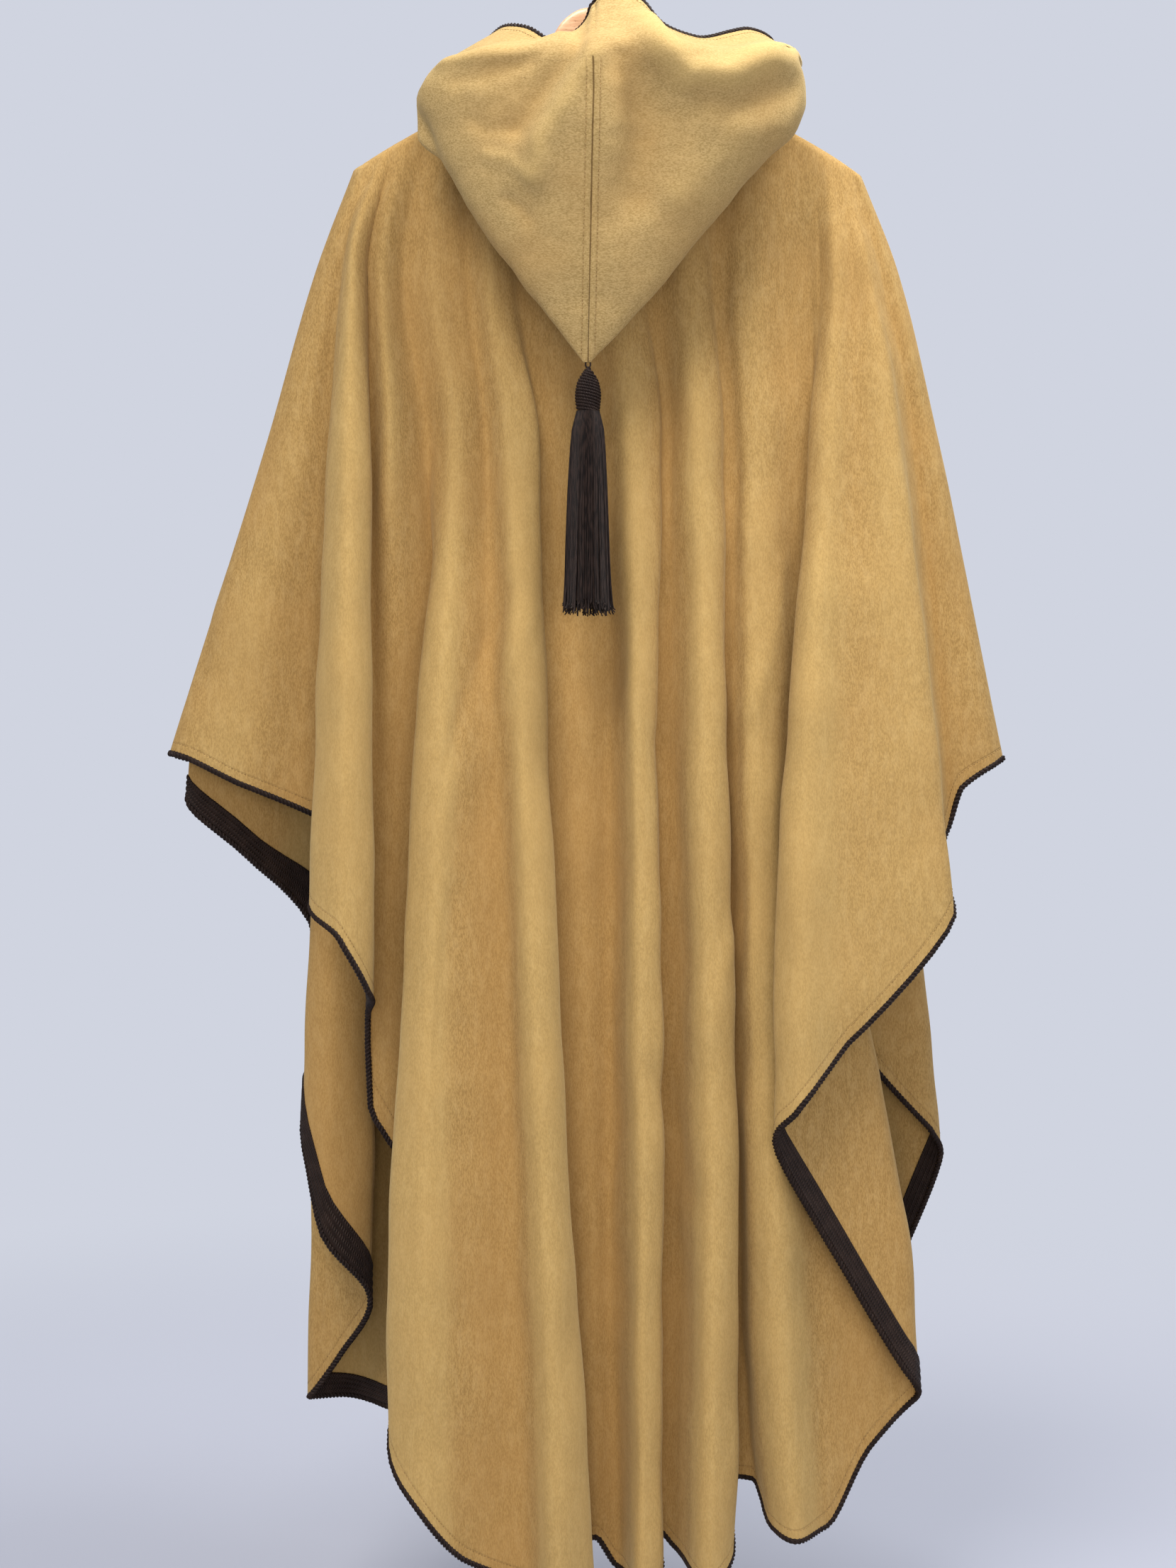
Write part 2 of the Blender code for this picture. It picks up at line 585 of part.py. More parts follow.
def loop_normals(points):
    """Outward unit normals of a surface that closes round its first index."""
    ahead = np.roll(points, -1, axis=0)
    face = np.cross(ahead[:, 1:] - points[:, :-1], ahead[:, :-1] - points[:, 1:])
    face /= np.maximum(np.linalg.norm(face, axis=2, keepdims=True), 1e-9)
    face += np.roll(face, 1, axis=0)
    normals = np.zeros_like(points)
    normals[:, 1:] += face
    normals[:, :-1] += face
    normals /= np.maximum(np.linalg.norm(normals, axis=2, keepdims=True), 1e-9)
    if normals[FACE_STATIONS // 2, points.shape[1] // 2, 1] > 0.0:
        normals = -normals
    return normals


def hood():
    """The hood: a pouch with its face edge, neck seam and tip, and its edge cord."""
    points = hood_surface(HOOD_STEPS, 1)
    normals = loop_normals(points)
    outer = points + normals * WALL / 2.0
    inner = points - normals * WALL / 2.0
    count, rows = points.shape[0], points.shape[1]
    verts = np.concatenate([outer.reshape(-1, 3), inner.reshape(-1, 3)])
    tip = np.array(HOOD_TIP)
    tips = np.array([tip + (0.0, 0.0, -2.0), tip + (0.0, 0.0, 3.0)])
    verts = np.concatenate([verts, tips])
    base = count * rows
    faces = []
    for c in range(count):
        n = (c + 1) % count
        for r in range(rows - 1):
            a, b = c * rows + r, n * rows + r
            faces += [(a, b, b + 1), (a, b + 1, a + 1)]
            a, b = a + base, b + base
            faces += [(a, a + 1, b + 1), (a, b + 1, b)]
        a, b = c * rows, n * rows
        faces += [(a, base + a, base + b), (a, base + b, b)]
        a, b = c * rows + rows - 1, n * rows + rows - 1
        faces += [(a, b, 2 * base), (base + b, base + a, 2 * base + 1)]
    new_object("hood", verts, faces, "wool")
    line = points[:FACE_STATIONS, 0]
    tangent = np.gradient(line, axis=0)
    tangent /= np.linalg.norm(tangent, axis=1, keepdims=True)
    away = np.cross(tangent, normals[:FACE_STATIONS, 0])
    away /= np.linalg.norm(away, axis=1, keepdims=True)
    if away[FACE_STATIONS // 2, 2] < 0.0:
        away = -away
    away = smooth_line(away, 1)
    up = np.cross(tangent, away)
    path = line + away * (CORD_R + CORD_GAP)
    tube("hood_cord", path, away, up, CORD_R, CORD_SIDES, "trim")


def tassel():
    """The tassel: a wound head with its skirt of strands fused into it."""
    profile = number_table(TASSEL_HEAD)
    sides = 12
    verts, faces = [], []
    for drop, radius in profile:
        for k in range(sides):
            a = 2.0 * math.pi * k / sides
            p = (TASSEL_X + radius * math.cos(a), TASSEL_Y + radius * math.sin(a), TASSEL_TOP - drop)
            verts.append(p)
    for r in range(len(profile) - 1):
        for k in range(sides):
            m = (k + 1) % sides
            a, b = r * sides + k, r * sides + m
            faces += [(a, b, b + sides), (a, b + sides, a + sides)]
    last = (len(profile) - 1) * sides
    faces += [(0, k, k + 1) for k in range(1, sides - 1)]
    faces += [(last, last + k + 1, last + k) for k in range(1, sides - 1)]
    head = new_object("tassel", verts, faces, "trim")
    verts, faces = [], []
    start = profile[-1][0] - 3.0
    for ring, (number, inner_r, outer_r) in enumerate(SKIRT_RINGS):
        for k in range(number):
            a = 2.0 * math.pi * (k + 0.37 * ring) / number
            end = SKIRT_DROP - 5.0 * ((k * 7 + ring * 3) % 5) / 4.0
            first = len(verts)
            for drop, reach in ((start, 0.0), ((start + end) * 0.45, 0.62), (end, 1.0)):
                radius = inner_r + (outer_r - inner_r) * reach
                centre = (TASSEL_X + radius * math.cos(a), TASSEL_Y + radius * math.sin(a))
                for j in range(3):
                    b = a + 2.0 * math.pi * j / 3.0
                    x = centre[0] + STRAND_R * math.cos(b)
                    verts.append((x, centre[1] + STRAND_R * math.sin(b), TASSEL_TOP - drop))
            for r in range(2):
                for j in range(3):
                    p, q = first + r * 3 + j, first + r * 3 + (j + 1) % 3
                    faces += [(p, q, q + 3), (p, q + 3, p + 3)]
            faces += [(first, first + 2, first + 1), (first + 6, first + 7, first + 8)]
    skirt = new_object("skirt", verts, faces, "trim")
    join = head.modifiers.new("join", "BOOLEAN")
    join.operation = "UNION"
    join.solver = "EXACT"
    join.object = skirt
    graph = bpy.context.evaluated_depsgraph_get()
    mesh = bpy.data.meshes.new_from_object(head.evaluated_get(graph))
    head.modifiers.clear()
    head.data = mesh
    bpy.data.objects.remove(skirt)


def hanger():
    """The wooden hanger and its steel hook, whose inner top is the seat."""
    rows = number_table(HANGER_PROFILE)
    line = [(-x, top, low) for x, top, low in rows[::-1]] + [(x, top, low) for x, top, low in rows[1:]]
    verts, faces = [], []
    t = HANGER_HALF_THICK
    for x, top, low in line:
        section = ((-t, top - 3.0), (-t + 3.0, top), (t - 3.0, top), (t, top - 3.0))
        section += ((t, low + 3.0), (t - 3.0, low), (-t + 3.0, low), (-t, low + 3.0))
        verts += [(x, y, z) for y, z in section]
    for i in range(len(line) - 1):
        for k in range(8):
            m = (k + 1) % 8
            a, b = i * 8 + k, i * 8 + m
            faces += [(a, b, b + 8), (a, b + 8, a + 8)]
    last = (len(line) - 1) * 8
    faces += [(0, k, k + 1) for k in range(1, 7)]
    faces += [(last, last + k, last + k + 1) for k in range(1, 7)]
    new_object("hanger", verts, faces, "wood")
    path = [(0.0, 0.0, rows[0][1] + GAP), (0.0, 0.0, -2.0 * HOOK_RADIUS - 8.0)]
    for k in range(15):
        a = math.radians(-90.0 + 255.0 * k / 14.0)
        x = HOOK_RADIUS * math.cos(a)
        path.append((x, 0.0, HOOK_RADIUS * math.sin(a) - HOOK_RADIUS + HOOK_WIRE))
    path = np.array(path)
    tangent = np.gradient(path, axis=0)
    tangent /= np.linalg.norm(tangent, axis=1, keepdims=True)
    up = np.tile((0.0, 1.0, 0.0), (len(path), 1))
    across = np.cross(tangent, up)
    tube("hook", path, across, up, HOOK_WIRE, HOOK_SIDES, "steel")


def build():
    for obj in list(bpy.data.objects):
        bpy.data.objects.remove(obj)
    cape_piece("back", BACK_FOLDS, -1, BACK_ROWS, False)
    cape_piece("front_left", LEFT_FOLDS, 1, FRONT_ROWS, True)
    cape_piece("front_right", RIGHT_FOLDS, 1, FRONT_ROWS, True)
    hood()
    tassel()
    hanger()


build()
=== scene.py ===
"""Burnous, a hooded cape of brushed wool, on a wooden hanger: its fine shapes and finishes.

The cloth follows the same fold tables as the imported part. Tables and lengths are in millimetres,
and each piece is built in metres in the part's own frame: the origin is the seat inside the hook,
the back faces -Y and +Z is up.
"""
import math

import bpy
import numpy as np
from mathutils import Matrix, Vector, noise


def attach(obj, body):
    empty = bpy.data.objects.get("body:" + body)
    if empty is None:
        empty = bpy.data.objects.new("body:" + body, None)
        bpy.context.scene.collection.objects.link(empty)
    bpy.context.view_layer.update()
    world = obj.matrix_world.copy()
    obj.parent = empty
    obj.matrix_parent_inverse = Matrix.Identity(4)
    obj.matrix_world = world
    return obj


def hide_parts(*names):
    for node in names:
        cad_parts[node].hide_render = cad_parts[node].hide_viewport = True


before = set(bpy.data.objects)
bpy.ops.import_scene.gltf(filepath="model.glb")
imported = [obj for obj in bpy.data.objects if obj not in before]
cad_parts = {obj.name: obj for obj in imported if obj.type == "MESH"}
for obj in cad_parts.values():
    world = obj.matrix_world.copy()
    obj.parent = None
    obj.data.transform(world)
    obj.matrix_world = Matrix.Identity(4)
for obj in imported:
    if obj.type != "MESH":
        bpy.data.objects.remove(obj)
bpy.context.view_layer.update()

MM = 0.001
TURN = 2.0 * math.pi
FINE_COLUMNS = 3
FINE_ROWS = 112
HOOD_FINENESS = ((8, 88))

# The cape's cloth, as in the part.
WALL = 2.0
SEAM_GAP = 0.16
SHOULDER_ROUND = 9.0
FULL_DEPTH = 1200.0
NECK_HALF = 80.0
NECK_Z = -130.0
TIP_HALF = 226.0
TIP_DROP = 78.0
BACK_NECK_DIP = 17.0
FRONT_NECK_DIP = 60.0
LEVELS = (-300.0, -450.0, -700.0, -950.0, -1200.0, -1450.0)
SHOULDER_ROWS = (0.0, 0.3, 1.2, 2.6, 4.5, 6.6)
BAND_ROWS = 6

# Trim: a three-ply cord on the edge and a ribbed braid on the inner face.
CORD_R = 3.0
CORD_IN = 0.9
CORD_PLIES = 3
CORD_PITCH = 11.0
CORD_STEP = 0.92
CORD_TUCK = 16.0        # length over which two cords draw together at a sleeve tip
CORD_APART = 0.3
PLY_SECTION = (0.64, 0.9, 1.0, 0.9)
BRAID_WIDTH = 17.0
BRAID_THICK = 1.6
BRAID_GAP = 0.15
BRAID_RIBS = 4
BRAID_SWELL = (0.45, 0.55, 0.7)    # share of the thickness between ribs, what a rib adds, power
BAND_RISES = (6.0, 140.0, 2.0)     # heights over the edge that are tried for the band's upper line
FAR = 60.0              # stands for a distance that no finish looks at
STITCH_INSET = 7.0
STITCH_PITCH = 3.2
STITCH_LONG = 2.1
# A stitch: place along it as a share of its length, height over the cloth, radius.
STITCH_SHAPE = ((-0.5, -0.25, 0.14), (-0.3, 0.1, 0.28), (0.3, 0.1, 0.28), (0.5, -0.25, 0.14))
SEAM_TOP = -148.0      # above this height the hood's roll swallows the seam and its rows
SEAM_STITCH = 5.8

# Wool: width of its tufts, clumps and clouds; how the painted shade in a seam's groove and along a
# stitch row fades.
TUFT = 1.1
CLUMP = 6.0
CLOUD = 95.0
SEAM_FADE = (0.3, 1.0)
ROW_FADE = (0.2, 1.4)
SMOOTH = {"interpolation_type": "SMOOTHSTEP"}

# Unevenness that handling leaves: width and height of its waves, how far they rise, shift.
CAPE_WAVES = ((34.0, 210.0, 2.4, 0.0), (13.0, 60.0, 0.75, 7.3), (58.0, 70.0, 2.4, 3.1))
STILL_DEPTH = 14.0      # the waves grow to full height this far off the plane of the shoulder fold
STILL_TOP = 50.0        # and this far below it
CREST_DEPTH = 34.0      # a fold this much deeper than what is beside it is a full crest, for the painted light and shade of the folds
HOOD_WAVES = ((44.0, 30.0, 1.8, 0.0), (15.0, 12.0, 0.5, 5.1))

# Fold tables: fold | steps to the next fold, height of the edge under it |
# x and depth y at the shoulder, then at each height in LEVELS; the last pair stands on down.
BACK_FOLDS = """
left sleeve fold  | 2  -729 |  -224   0  -257   0  -300   0  -378   0  -455   0  -533   0  -611   0
left fold round   | 2  -732 |  -215  -9  -248 -11  -291 -12  -367 -12  -443 -12  -519 -12  -598 -12
left sleeve panel | 2  -757 |  -210  -9  -241 -14  -268 -20  -319 -22  -328 -22
behind ridge 1    | 2  -797 |  -206  -9  -234 -15  -243 -16  -240 -11  -235 -10
flap turn         | 2  -822 |  -204  -9  -232 -17  -242 -22  -239 -26  -234 -27
ridge 1 left      | 2  -864 |  -200  -9  -230 -22  -241 -34  -251 -52  -257 -60  -260 -60
ridge 1 crest     | 2  -891 |  -195  -9  -222 -32  -223 -56  -225 -80  -226 -88
ridge 1 right     | 2  -938 |  -190  -9  -214 -24  -209 -42  -204 -58  -203 -64  -203 -66
recess 1 turn     | 1  -966 |  -185  -9  -211 -14  -208 -16  -209 -16
recess 1 edge     | 1 -1046 |  -182  -9  -207 -16  -203 -18  -205 -13  -206 -12
ridge 2 crest     | 2 -1077 |  -176  -9  -197 -24  -190 -36  -189 -20  -189 -14  -189 -12
ridge 2 right     | 1 -1135 |  -167  -9  -186 -17  -172 -22  -160 -14  -152  -8
valley 2          | 2 -1226 |  -159  -9  -179 -12  -159 -10  -149 -16  -154 -26  -158 -26
broad fold left   | 2 -1331 |  -150  -9  -169 -14  -146 -20  -162 -52  -176 -64  -185 -74  -186 -76
broad fold crest  | 2 -1382 |  -137  -9  -151 -20  -133 -30  -141 -70  -151 -84  -157 -94  -153 -96
broad fold hollow | 2 -1423 |  -125  -9  -134 -16  -118 -24  -122 -58  -127 -72  -125 -80  -121 -82
ridge 3 left      | 2 -1448 |  -114  -9  -120 -12  -104 -16   -98 -46   -87 -56   -78 -62   -71 -64
ridge 3 crest     | 2 -1454 |  -101  -9  -103 -24   -83 -36   -73 -68   -61 -82   -49 -94   -41 -98
ridge 3 right     | 2 -1460 |   -87  -9   -86 -18   -60 -28   -52 -48   -40 -58   -24 -66    -9 -68
recess 3 turn     | 1 -1428 |   -74 -17   -77 -11   -58 -10   -58 -16   -49 -14   -37 -12   -23 -10
recess 3 flat     | 2 -1427 |   -52 -24   -51 -13   -30 -14   -23 -20   -19 -20   -12 -18    -6 -16
valley 4          | 3 -1454 |   -23 -28   -17 -10    -1  -9     6 -12     6 -12     7 -12    13 -12
ridge 4 crest     | 3 -1457 |     2 -29     8 -20    22 -30    27 -50    29 -58    32 -62
ridge 4 right     | 2 -1452 |    24 -28    28 -16    48 -20    45 -38    49 -46    50 -50    48 -52
recess 5 turn     | 1 -1418 |    39 -26    38 -10    52 -10    47 -14    48 -14    47 -12    45 -12
recess 5          | 2 -1433 |    52 -24    49 -10    59  -9    59 -14    63 -16    65 -14    62 -14
ridge 5 crest     | 2 -1449 |    66 -20    70 -20    81 -30    86 -50    89 -60    92 -68    90 -70
ridge 5 right     | 2 -1430 |    81  -9    87 -17   102 -20   105 -38   113 -46   116 -50   113 -52
recess 6 turn     | 1 -1375 |    93  -9    97 -10   107 -10   108 -16   112 -16   110 -10   109  -8
recess 6          | 2 -1376 |   106  -9   107 -11   115 -12   116 -24   119 -26   122 -12   138 -10
ridge 6 left      | 2 -1408 |   119  -9   118 -16   125 -22   128 -38   130 -44   131 -42   153 -46
ridge 6 crest     | 2 -1414 |   133  -9   135 -17   143 -22   147 -34   150 -44   152 -60   170 -64
valley 7          | 2 -1409 |   147  -9   155 -12   163 -12   171 -16   178 -20   186 -34   194 -40
under layer       | 2 -1346 |   160  -9   172 -11   178  -9   192 -10   213 -14   228 -22   234 -24
side turn back    | 1 -1302 |   171  -9   184 -12   187  -9   202 -10   229 -14   271 -18   278 -20
side turn near    | 2 -1283 |   178  -9   189 -14   188 -16   198 -24   227 -30   269 -34   276 -36
inner layer       | 2 -1173 |   185  -9   193 -16   186 -21   184 -36   194 -46   206 -52   208 -54
side fold left    | 2 -1066 |   191  -9   196 -20   184 -28   160 -56   146 -72   149 -80
side fold crest   | 2 -1034 |   196  -9   204 -28   195 -42   174 -78   164 -96   167 -100
side panel hollow | 2  -981 |   203  -9   217 -25   220 -38   213 -66   208 -82
side ridge crest  | 2  -872 |   210  -9   232 -26   255 -40   283 -62   304 -72
side ridge flank  | 2  -833 |   215  -9   239 -19   263 -24   285 -44   299 -50
side ridge turn   | 2  -797 |   219  -9   245 -13   273 -13   298 -18   310 -20
right sleeve panel| 2  -762 |   222  -9   251 -12   282 -13   309 -18   332 -20   355 -20   378 -20
right fold round  | 2  -740 |   225  -9   254 -11   290 -12   339 -12   390 -12   437 -12   485 -12
right sleeve fold | 0  -733 |   230   0   262   0   298   0   349   0   401   0   450   0   500   0
"""
LEFT_FOLDS = """
sleeve fold       | 1  -729 |  -224   0  -257   0  -300   0  -378   0  -455   0  -533   0  -611   0
edge behind       | 1  -740 |  -221   6  -254   9  -297   9  -366  16  -362  24
fold round        | 2  -771 |  -217   9  -251  12  -294  12  -371  10  -378   8
sleeve panel      | 2  -823 |  -205   9  -239  17  -268  22  -323  26  -323  30  -330  30
side edge hollow  | 2  -886 |  -187   9  -223  20  -246  31  -275  44  -268  71
tucked edge       | 2 -1042 |  -180   9  -218  22  -241  34  -256  51  -245  66  -245  67
side roll left    | 2 -1066 |  -173   9  -212  22  -236  36  -258  43  -272  52  -279  54
side roll crest   | 2 -1169 |  -161   9  -203  21  -226  30  -234  31  -248  32  -254  34
side roll right   | 2 -1231 |  -148   9  -194  23  -214  36  -215  46  -213  56  -214  60
second layer      | 2 -1287 |  -135   9  -184  25  -208  42  -225  62  -241  76  -245  80
second turn       | 2 -1331 |  -126   9  -172  28  -199  50  -231  76  -265  88  -274  92
front fold 1      | 2 -1337 |  -116   9  -156  33  -181  60  -210  96  -229 112  -236 118
front hollow 1    | 2 -1352 |  -103   9  -137  34  -151  54  -166  84  -174  94  -175  98
front fold 2      | 2 -1366 |   -91   9  -114  42  -119  64  -124  96  -126 108  -128 114
front hollow 2    | 2 -1361 |   -72  23   -89  44   -86  58   -87  82   -87  92   -87  96
front fold 3      | 2 -1358 |   -46  37   -53  48   -50  62   -50  92   -51 102   -51 108
front opening     | 0 -1308 |    -9  43    -9  50   -10  60   -11  84   -13  94   -13  98
"""
RIGHT_FOLDS = """
sleeve fold       | 2  -733 |   230   0   262   0   298   0   349   0   401   0   450   0   500   0
fold round        | 2  -742 |   226   9   257  12   293  12   344  12   356  12
sleeve panel      | 2  -770 |   216   9   249  17   274  22   305  24   315  28
side edge turn    | 2  -966 |   200   9   237  20   251  26   241  32   224  36   219  38
under turn        | 2  -993 |   190   9   231  22   249  32   245  46   231  50   227  52
side roll edge    | 2 -1076 |   181   9   224  24   246  38   261  52   291  60   310  64   314  64
side roll turn    | 2 -1102 |   171   9   216  26   242  44   264  66   297  76   320  80   326  80
inner face        | 2 -1185 |   158   9   204  30   231  54   245  82   268  92   285  96
front fold 1      | 2 -1297 |   142   9   186  34   209  62   216  98   231 112   235 118
front hollow 1    | 2 -1355 |   123   9   160  35   172  56   173  84   177  94   179  98
front fold 2      | 2 -1367 |   101   9   129  43   134  66   133  98   133 110   134 116
front hollow 2    | 2 -1361 |    76  19    90  44    87  58    88  82    89  92    89  96
front fold 3      | 2 -1358 |    47  36    48  48    45  62    46  92    46 102    46 108
front opening     | 0 -1308 |     9  43     9  50    11  60    12  84    14  94    14  98
"""

# Round the hood's edge: x, y, z, then x, y, z of the fold that stands over the neck.
HOOD_EDGE = """
left front   -36   60 -148  -100   58 -120
left side    -84   50 -112  -128   34 -124
left top    -110    2 -106  -143   -8 -132
left crest   -91  -45 -100  -132  -52 -128
left dip     -68  -65 -106  -104  -80 -126
mid dip      -43  -75 -121   -72  -94 -132
mid rise     -20  -78 -108   -38 -100 -124
mid side      -7  -80  -86   -12 -103 -116
mid crest     11  -80  -76    10 -104 -112
right fall    30  -80  -86    36 -103 -116
right slope   51  -78 -107    64  -98 -126
right dip     86  -70 -116   100  -88 -128
right crest  127  -50 -102   140  -66 -118
right top    150  -22 -103   170  -34 -124
right side   138   34  -98   164   16 -112
right turn    86   56 -104   134   42 -114
right front   36   60 -148   100   58 -120
seam right 1  36   40 -175    72   40 -144
seam right 2  76   19 -133    98   18 -116
seam right 3  81    0 -127   106    0 -110
seam right 4  70  -16 -131    90  -22 -112
seam right 5  38  -27 -140    48  -36 -118
seam back      0  -29 -144     0  -40 -120
seam left 5  -38  -27 -140   -48  -36 -118
seam left 4  -70  -16 -131   -90  -22 -112
seam left 3  -81    0 -127  -106    0 -110
seam left 2  -76   19 -133   -98   18 -116
seam left 1  -36   40 -175   -72   40 -144
"""
FACE_STATIONS = 17

# Hood rings: x left, x right, side y, height z, y of the seen side, y of the under side.
HOOD_RINGS = """
collar  -153  173  -58 -146 -122  -36
corner  -162  174  -60 -165 -121  -38
roll    -149  163  -63 -196 -120  -41
upper   -139  140  -66 -219 -118  -44
middle   -98   80  -71 -290 -104  -52
lower    -54   31  -74 -349  -90  -62
"""
HOOD_TIP = (-15.5, -74.0, -398.0)
HOOD_KNOTS = (0.0, 0.8, 1.7, 1.95, 2.35, 2.7, 3.6, 4.3, 4.9)     # where edge, rings and tip lie
# The under layer rolls out past the hood's left side: how far, at what height, half its height.
UNDER_ROLL = 24.0
UNDER_ROLL_Z = -190.0
UNDER_ROLL_TALL = 17.0

# Large relief of the hood: x, z of the middle, half length, half width, turn in degrees, height.
HOOD_BULGES = """
  -2 -165   80  22   90   9
  62 -150   75  20  -28   9
 -40 -215   75  24   52   7
  42 -205   60  26   60  -8
 -85 -180   60  26   70  -6
"""

# Fine relief laid over the hood, as the cloth creases where it is thrown back:
# height, half width, then x and z along the crease.
HOOD_CREASES = (
    (10.5, 13.0, (34, -114, 48, -142, 72, -162, 104, -160, 137, -142, 158, -130)),
    (-8.0, 19.0, (18, -150, 26, -185, 30, -225, 28, -258)),
    (-4.5, 12.0, (80, -178, 104, -184, 130, -180, 162, -164)),
    (2.5, 14.0, (60, -262, 84, -238, 118, -212)),
    (5.0, 9.0, (-8, -150, -23, -169, -38, -196, -54, -219, -58, -246)),
    (-4.5, 9.0, (-20, -104, -24, -136, -40, -160, -60, -184, -74, -204)),
    (2.8, 5.5, (-100, -225, -80, -231, -64, -246)),
    (-3.2, 7.0, (-84, -262, -76, -266, -66, -278)),
    (3.4, 9.0, (-134, -142, -103, -138, -69, -131, -38, -123)),
    (-3.0, 8.0, (-126, -160, -96, -154, -64, -148)),
    (-2.0, 7.0, (-112, -196, -100, -204, -84, -204)),
)
BACK_CREASES = (
    (-2.6, 7.0, (-82, -590, -106, -640, -122, -691, -152, -786)),
    (2.2, 8.0, (-66, -610, -92, -680, -104, -740)),
    (-2.4, 11.0, (52, -720, 60, -770, 64, -840)),
    (1.6, 6.0, (118, -880, 100, -930, 92, -985)),
    (-1.8, 7.0, (-128, -850, -140, -930, -146, -1010)),
    (-2.0, 9.0, (40, -1010, 66, -1060, 78, -1120)),
    (1.8, 7.0, (160, -560, 146, -640, 128, -700)),
)
# Lips and groove of the centre seam: height, distance from the seam, half width.
SEAM_RELIEF = ((0.8, 3.0, 2.4), (-1.3, 0.0, 1.4))
CREASE_START = 26.0     # the creases grow to full height this far from the hood's edge
TIP_STILL = 40.0        # and all relief dies away over this height above the tip
CREST_RISE = 22.0       # relief this high takes the hood from the painted shade of a hollow to the painted highlight of a crest
SEAM_X_TOP = -8.0
SEAM_X_TIP = -14.3
SEAM_TOP_Z = -96.0

# Tassel: drop below its top and radius of the wound head; drop and radius of the skirt.
TASSEL_AT = (-14.3, -74.0, -398.6)
TASSEL_HEAD = ((0, 1.2), (3, 1.7), (8, 5.0), (16, 8.8), (26, 10.2), (34, 9.6), (40, 9.0), (43, 9.2))
SKIRT_SHAPE = ((40, 9.6), (47, 12.2), (90, 15.6), (150, 18.0), (200, 19.8), (214, 21.0))
SKIRT_LAYERS = ((92, 1.0), (74, 0.9), (48, 0.72), (26, 0.45))
STRAND_R = 0.62
HEAD_BARE = 3.0         # length of the head above its winding
WINDING_R = 1.35
WINDING_PITCH = 2.6
LOOP_R = 0.8

# Hanger: x, z of the top line, z of the underside; mirrored to the other arm. Hook of 4 mm wire.
HANGER_PROFILE = (
    (0, -63, -112), (20, -66, -112), (36, -76, -116), (50, -98, -128), (66, -124, -148),
    (80, -134.2, -163), (98, -143.1, -174), (128, -159.1, -190), (164, -178.3, -211),
    (188, -192, -224), (206, -202.7, -233), (217, -210.9, -237),
)
HANGER_HALF_THICK = 6.0
HANGER_END = 217.6
HANGER_ROUND = 4.0      # length of the rounded end of an arm
HANGER_SQUARE = 0.42    # power that squares the arm's oval section
HANGER_SIDES = 32
HOOK_WIRE = 2.0
HOOK_RADIUS = 18.0
HOOK_BULB = (1.0, 1.25, 1.3, 0.8)      # swelling of the hook's end
COLLAR = ((-1.0, 4.6), (0.2, 4.6), (1.6, 4.3), (2.6, 3.2), (3.0, 2.2))  # height over wood, radius

# Camera of the photograph: place in metres and lens for a 36 mm long side.
CAMERA_AT = (-0.0143, -2.0, -0.7595)
CAMERA_LENS = 51.27
FLOOR_Z = -1.56
SURROUND = "D0D4E0"
SURROUND_STRENGTH = 1.0
FLOOR_HALF = 30.0
FLOOR_FADE = (1.6, 2.8)     # metres from the middle where the floor runs into the surround
# Lights: name, place, aim, size in metres, power in watts, colour.
LIGHTS = (
    ("key", (-1.4, -3.3, 4.2), (0.0, 0.0, -0.6), 2.0, 262.0, "FFF8F0"),
    ("front_fill", (0.15, -2.0, -0.8), (0.0, 0.0, -0.75), 0.9, 16.0, "FFF4EA"),
    ("top", (0.42, -0.34, 0.9), (0.09, -0.06, -0.1), 0.4, 28.0, "FFFFFF"),
    ("back_fill", (0.9, 2.6, 0.6), (0.0, 0.0, -0.7), 1.6, 50.0, "FFF8EE"),
)

CAPE_PARTS = (
    ("back", BACK_FOLDS, -1, False),
    ("front_left", LEFT_FOLDS, 1, True),
    ("front_right", RIGHT_FOLDS, 1, True),
)


def linear(code):
    """An sRGB hex colour as linear red, green, blue and alpha."""
    values = [int(code[k:k + 2], 16) / 255.0 for k in (0, 2, 4)]
    return (*(v / 12.92 if v <= 0.04045 else ((v + 0.055) / 1.055) ** 2.4 for v in values), 1.0)


def per_metre(size_mm):
    """Noise scale whose features are that many millimetres wide."""
    return 1000.0 / size_mm


def feed(tree, node, inputs):
    """Sets a node's inputs: each is a value, or the (node, output) that it is linked to."""
    for key, value in inputs.items():
        if isinstance(value, tuple) and isinstance(value[0], bpy.types.Node):
            tree.links.new(value[0].outputs[value[1]], node.inputs[key])
        else:
            node.inputs[key].default_value = value


def add(tree, kind, inputs, output=0, **settings):
    """Adds a node with its settings and links; returns it with the output to use."""
    node = tree.nodes.new("ShaderNode" + kind)
    for key, value in settings.items():
        setattr(node, key, value)
    feed(tree, node, inputs)
    return node, output


def finish_of(name, settings):
    """A new material with its Principled shader set, its node tree and that shader."""
    material = bpy.data.materials.new(name)
    material.use_nodes = True
    shader = material.node_tree.nodes["Principled BSDF"]
    feed(material.node_tree, shader, settings)
    return material, material.node_tree, shader


def tinted(tree, tone, layers):
    """Lays tints over a colour: each names its source, low, high, its share at both, its colour."""
    for source, low, high, start, end, colour in layers:
        share = add(tree, "MapRange", {0: source, 1: low, 2: high, 3: start, 4: end}, **SMOOTH)
        tone = add(tree, "Mix", {0: share, 6: tone, 7: linear(colour)}, 2, data_type="RGBA")
    return tone


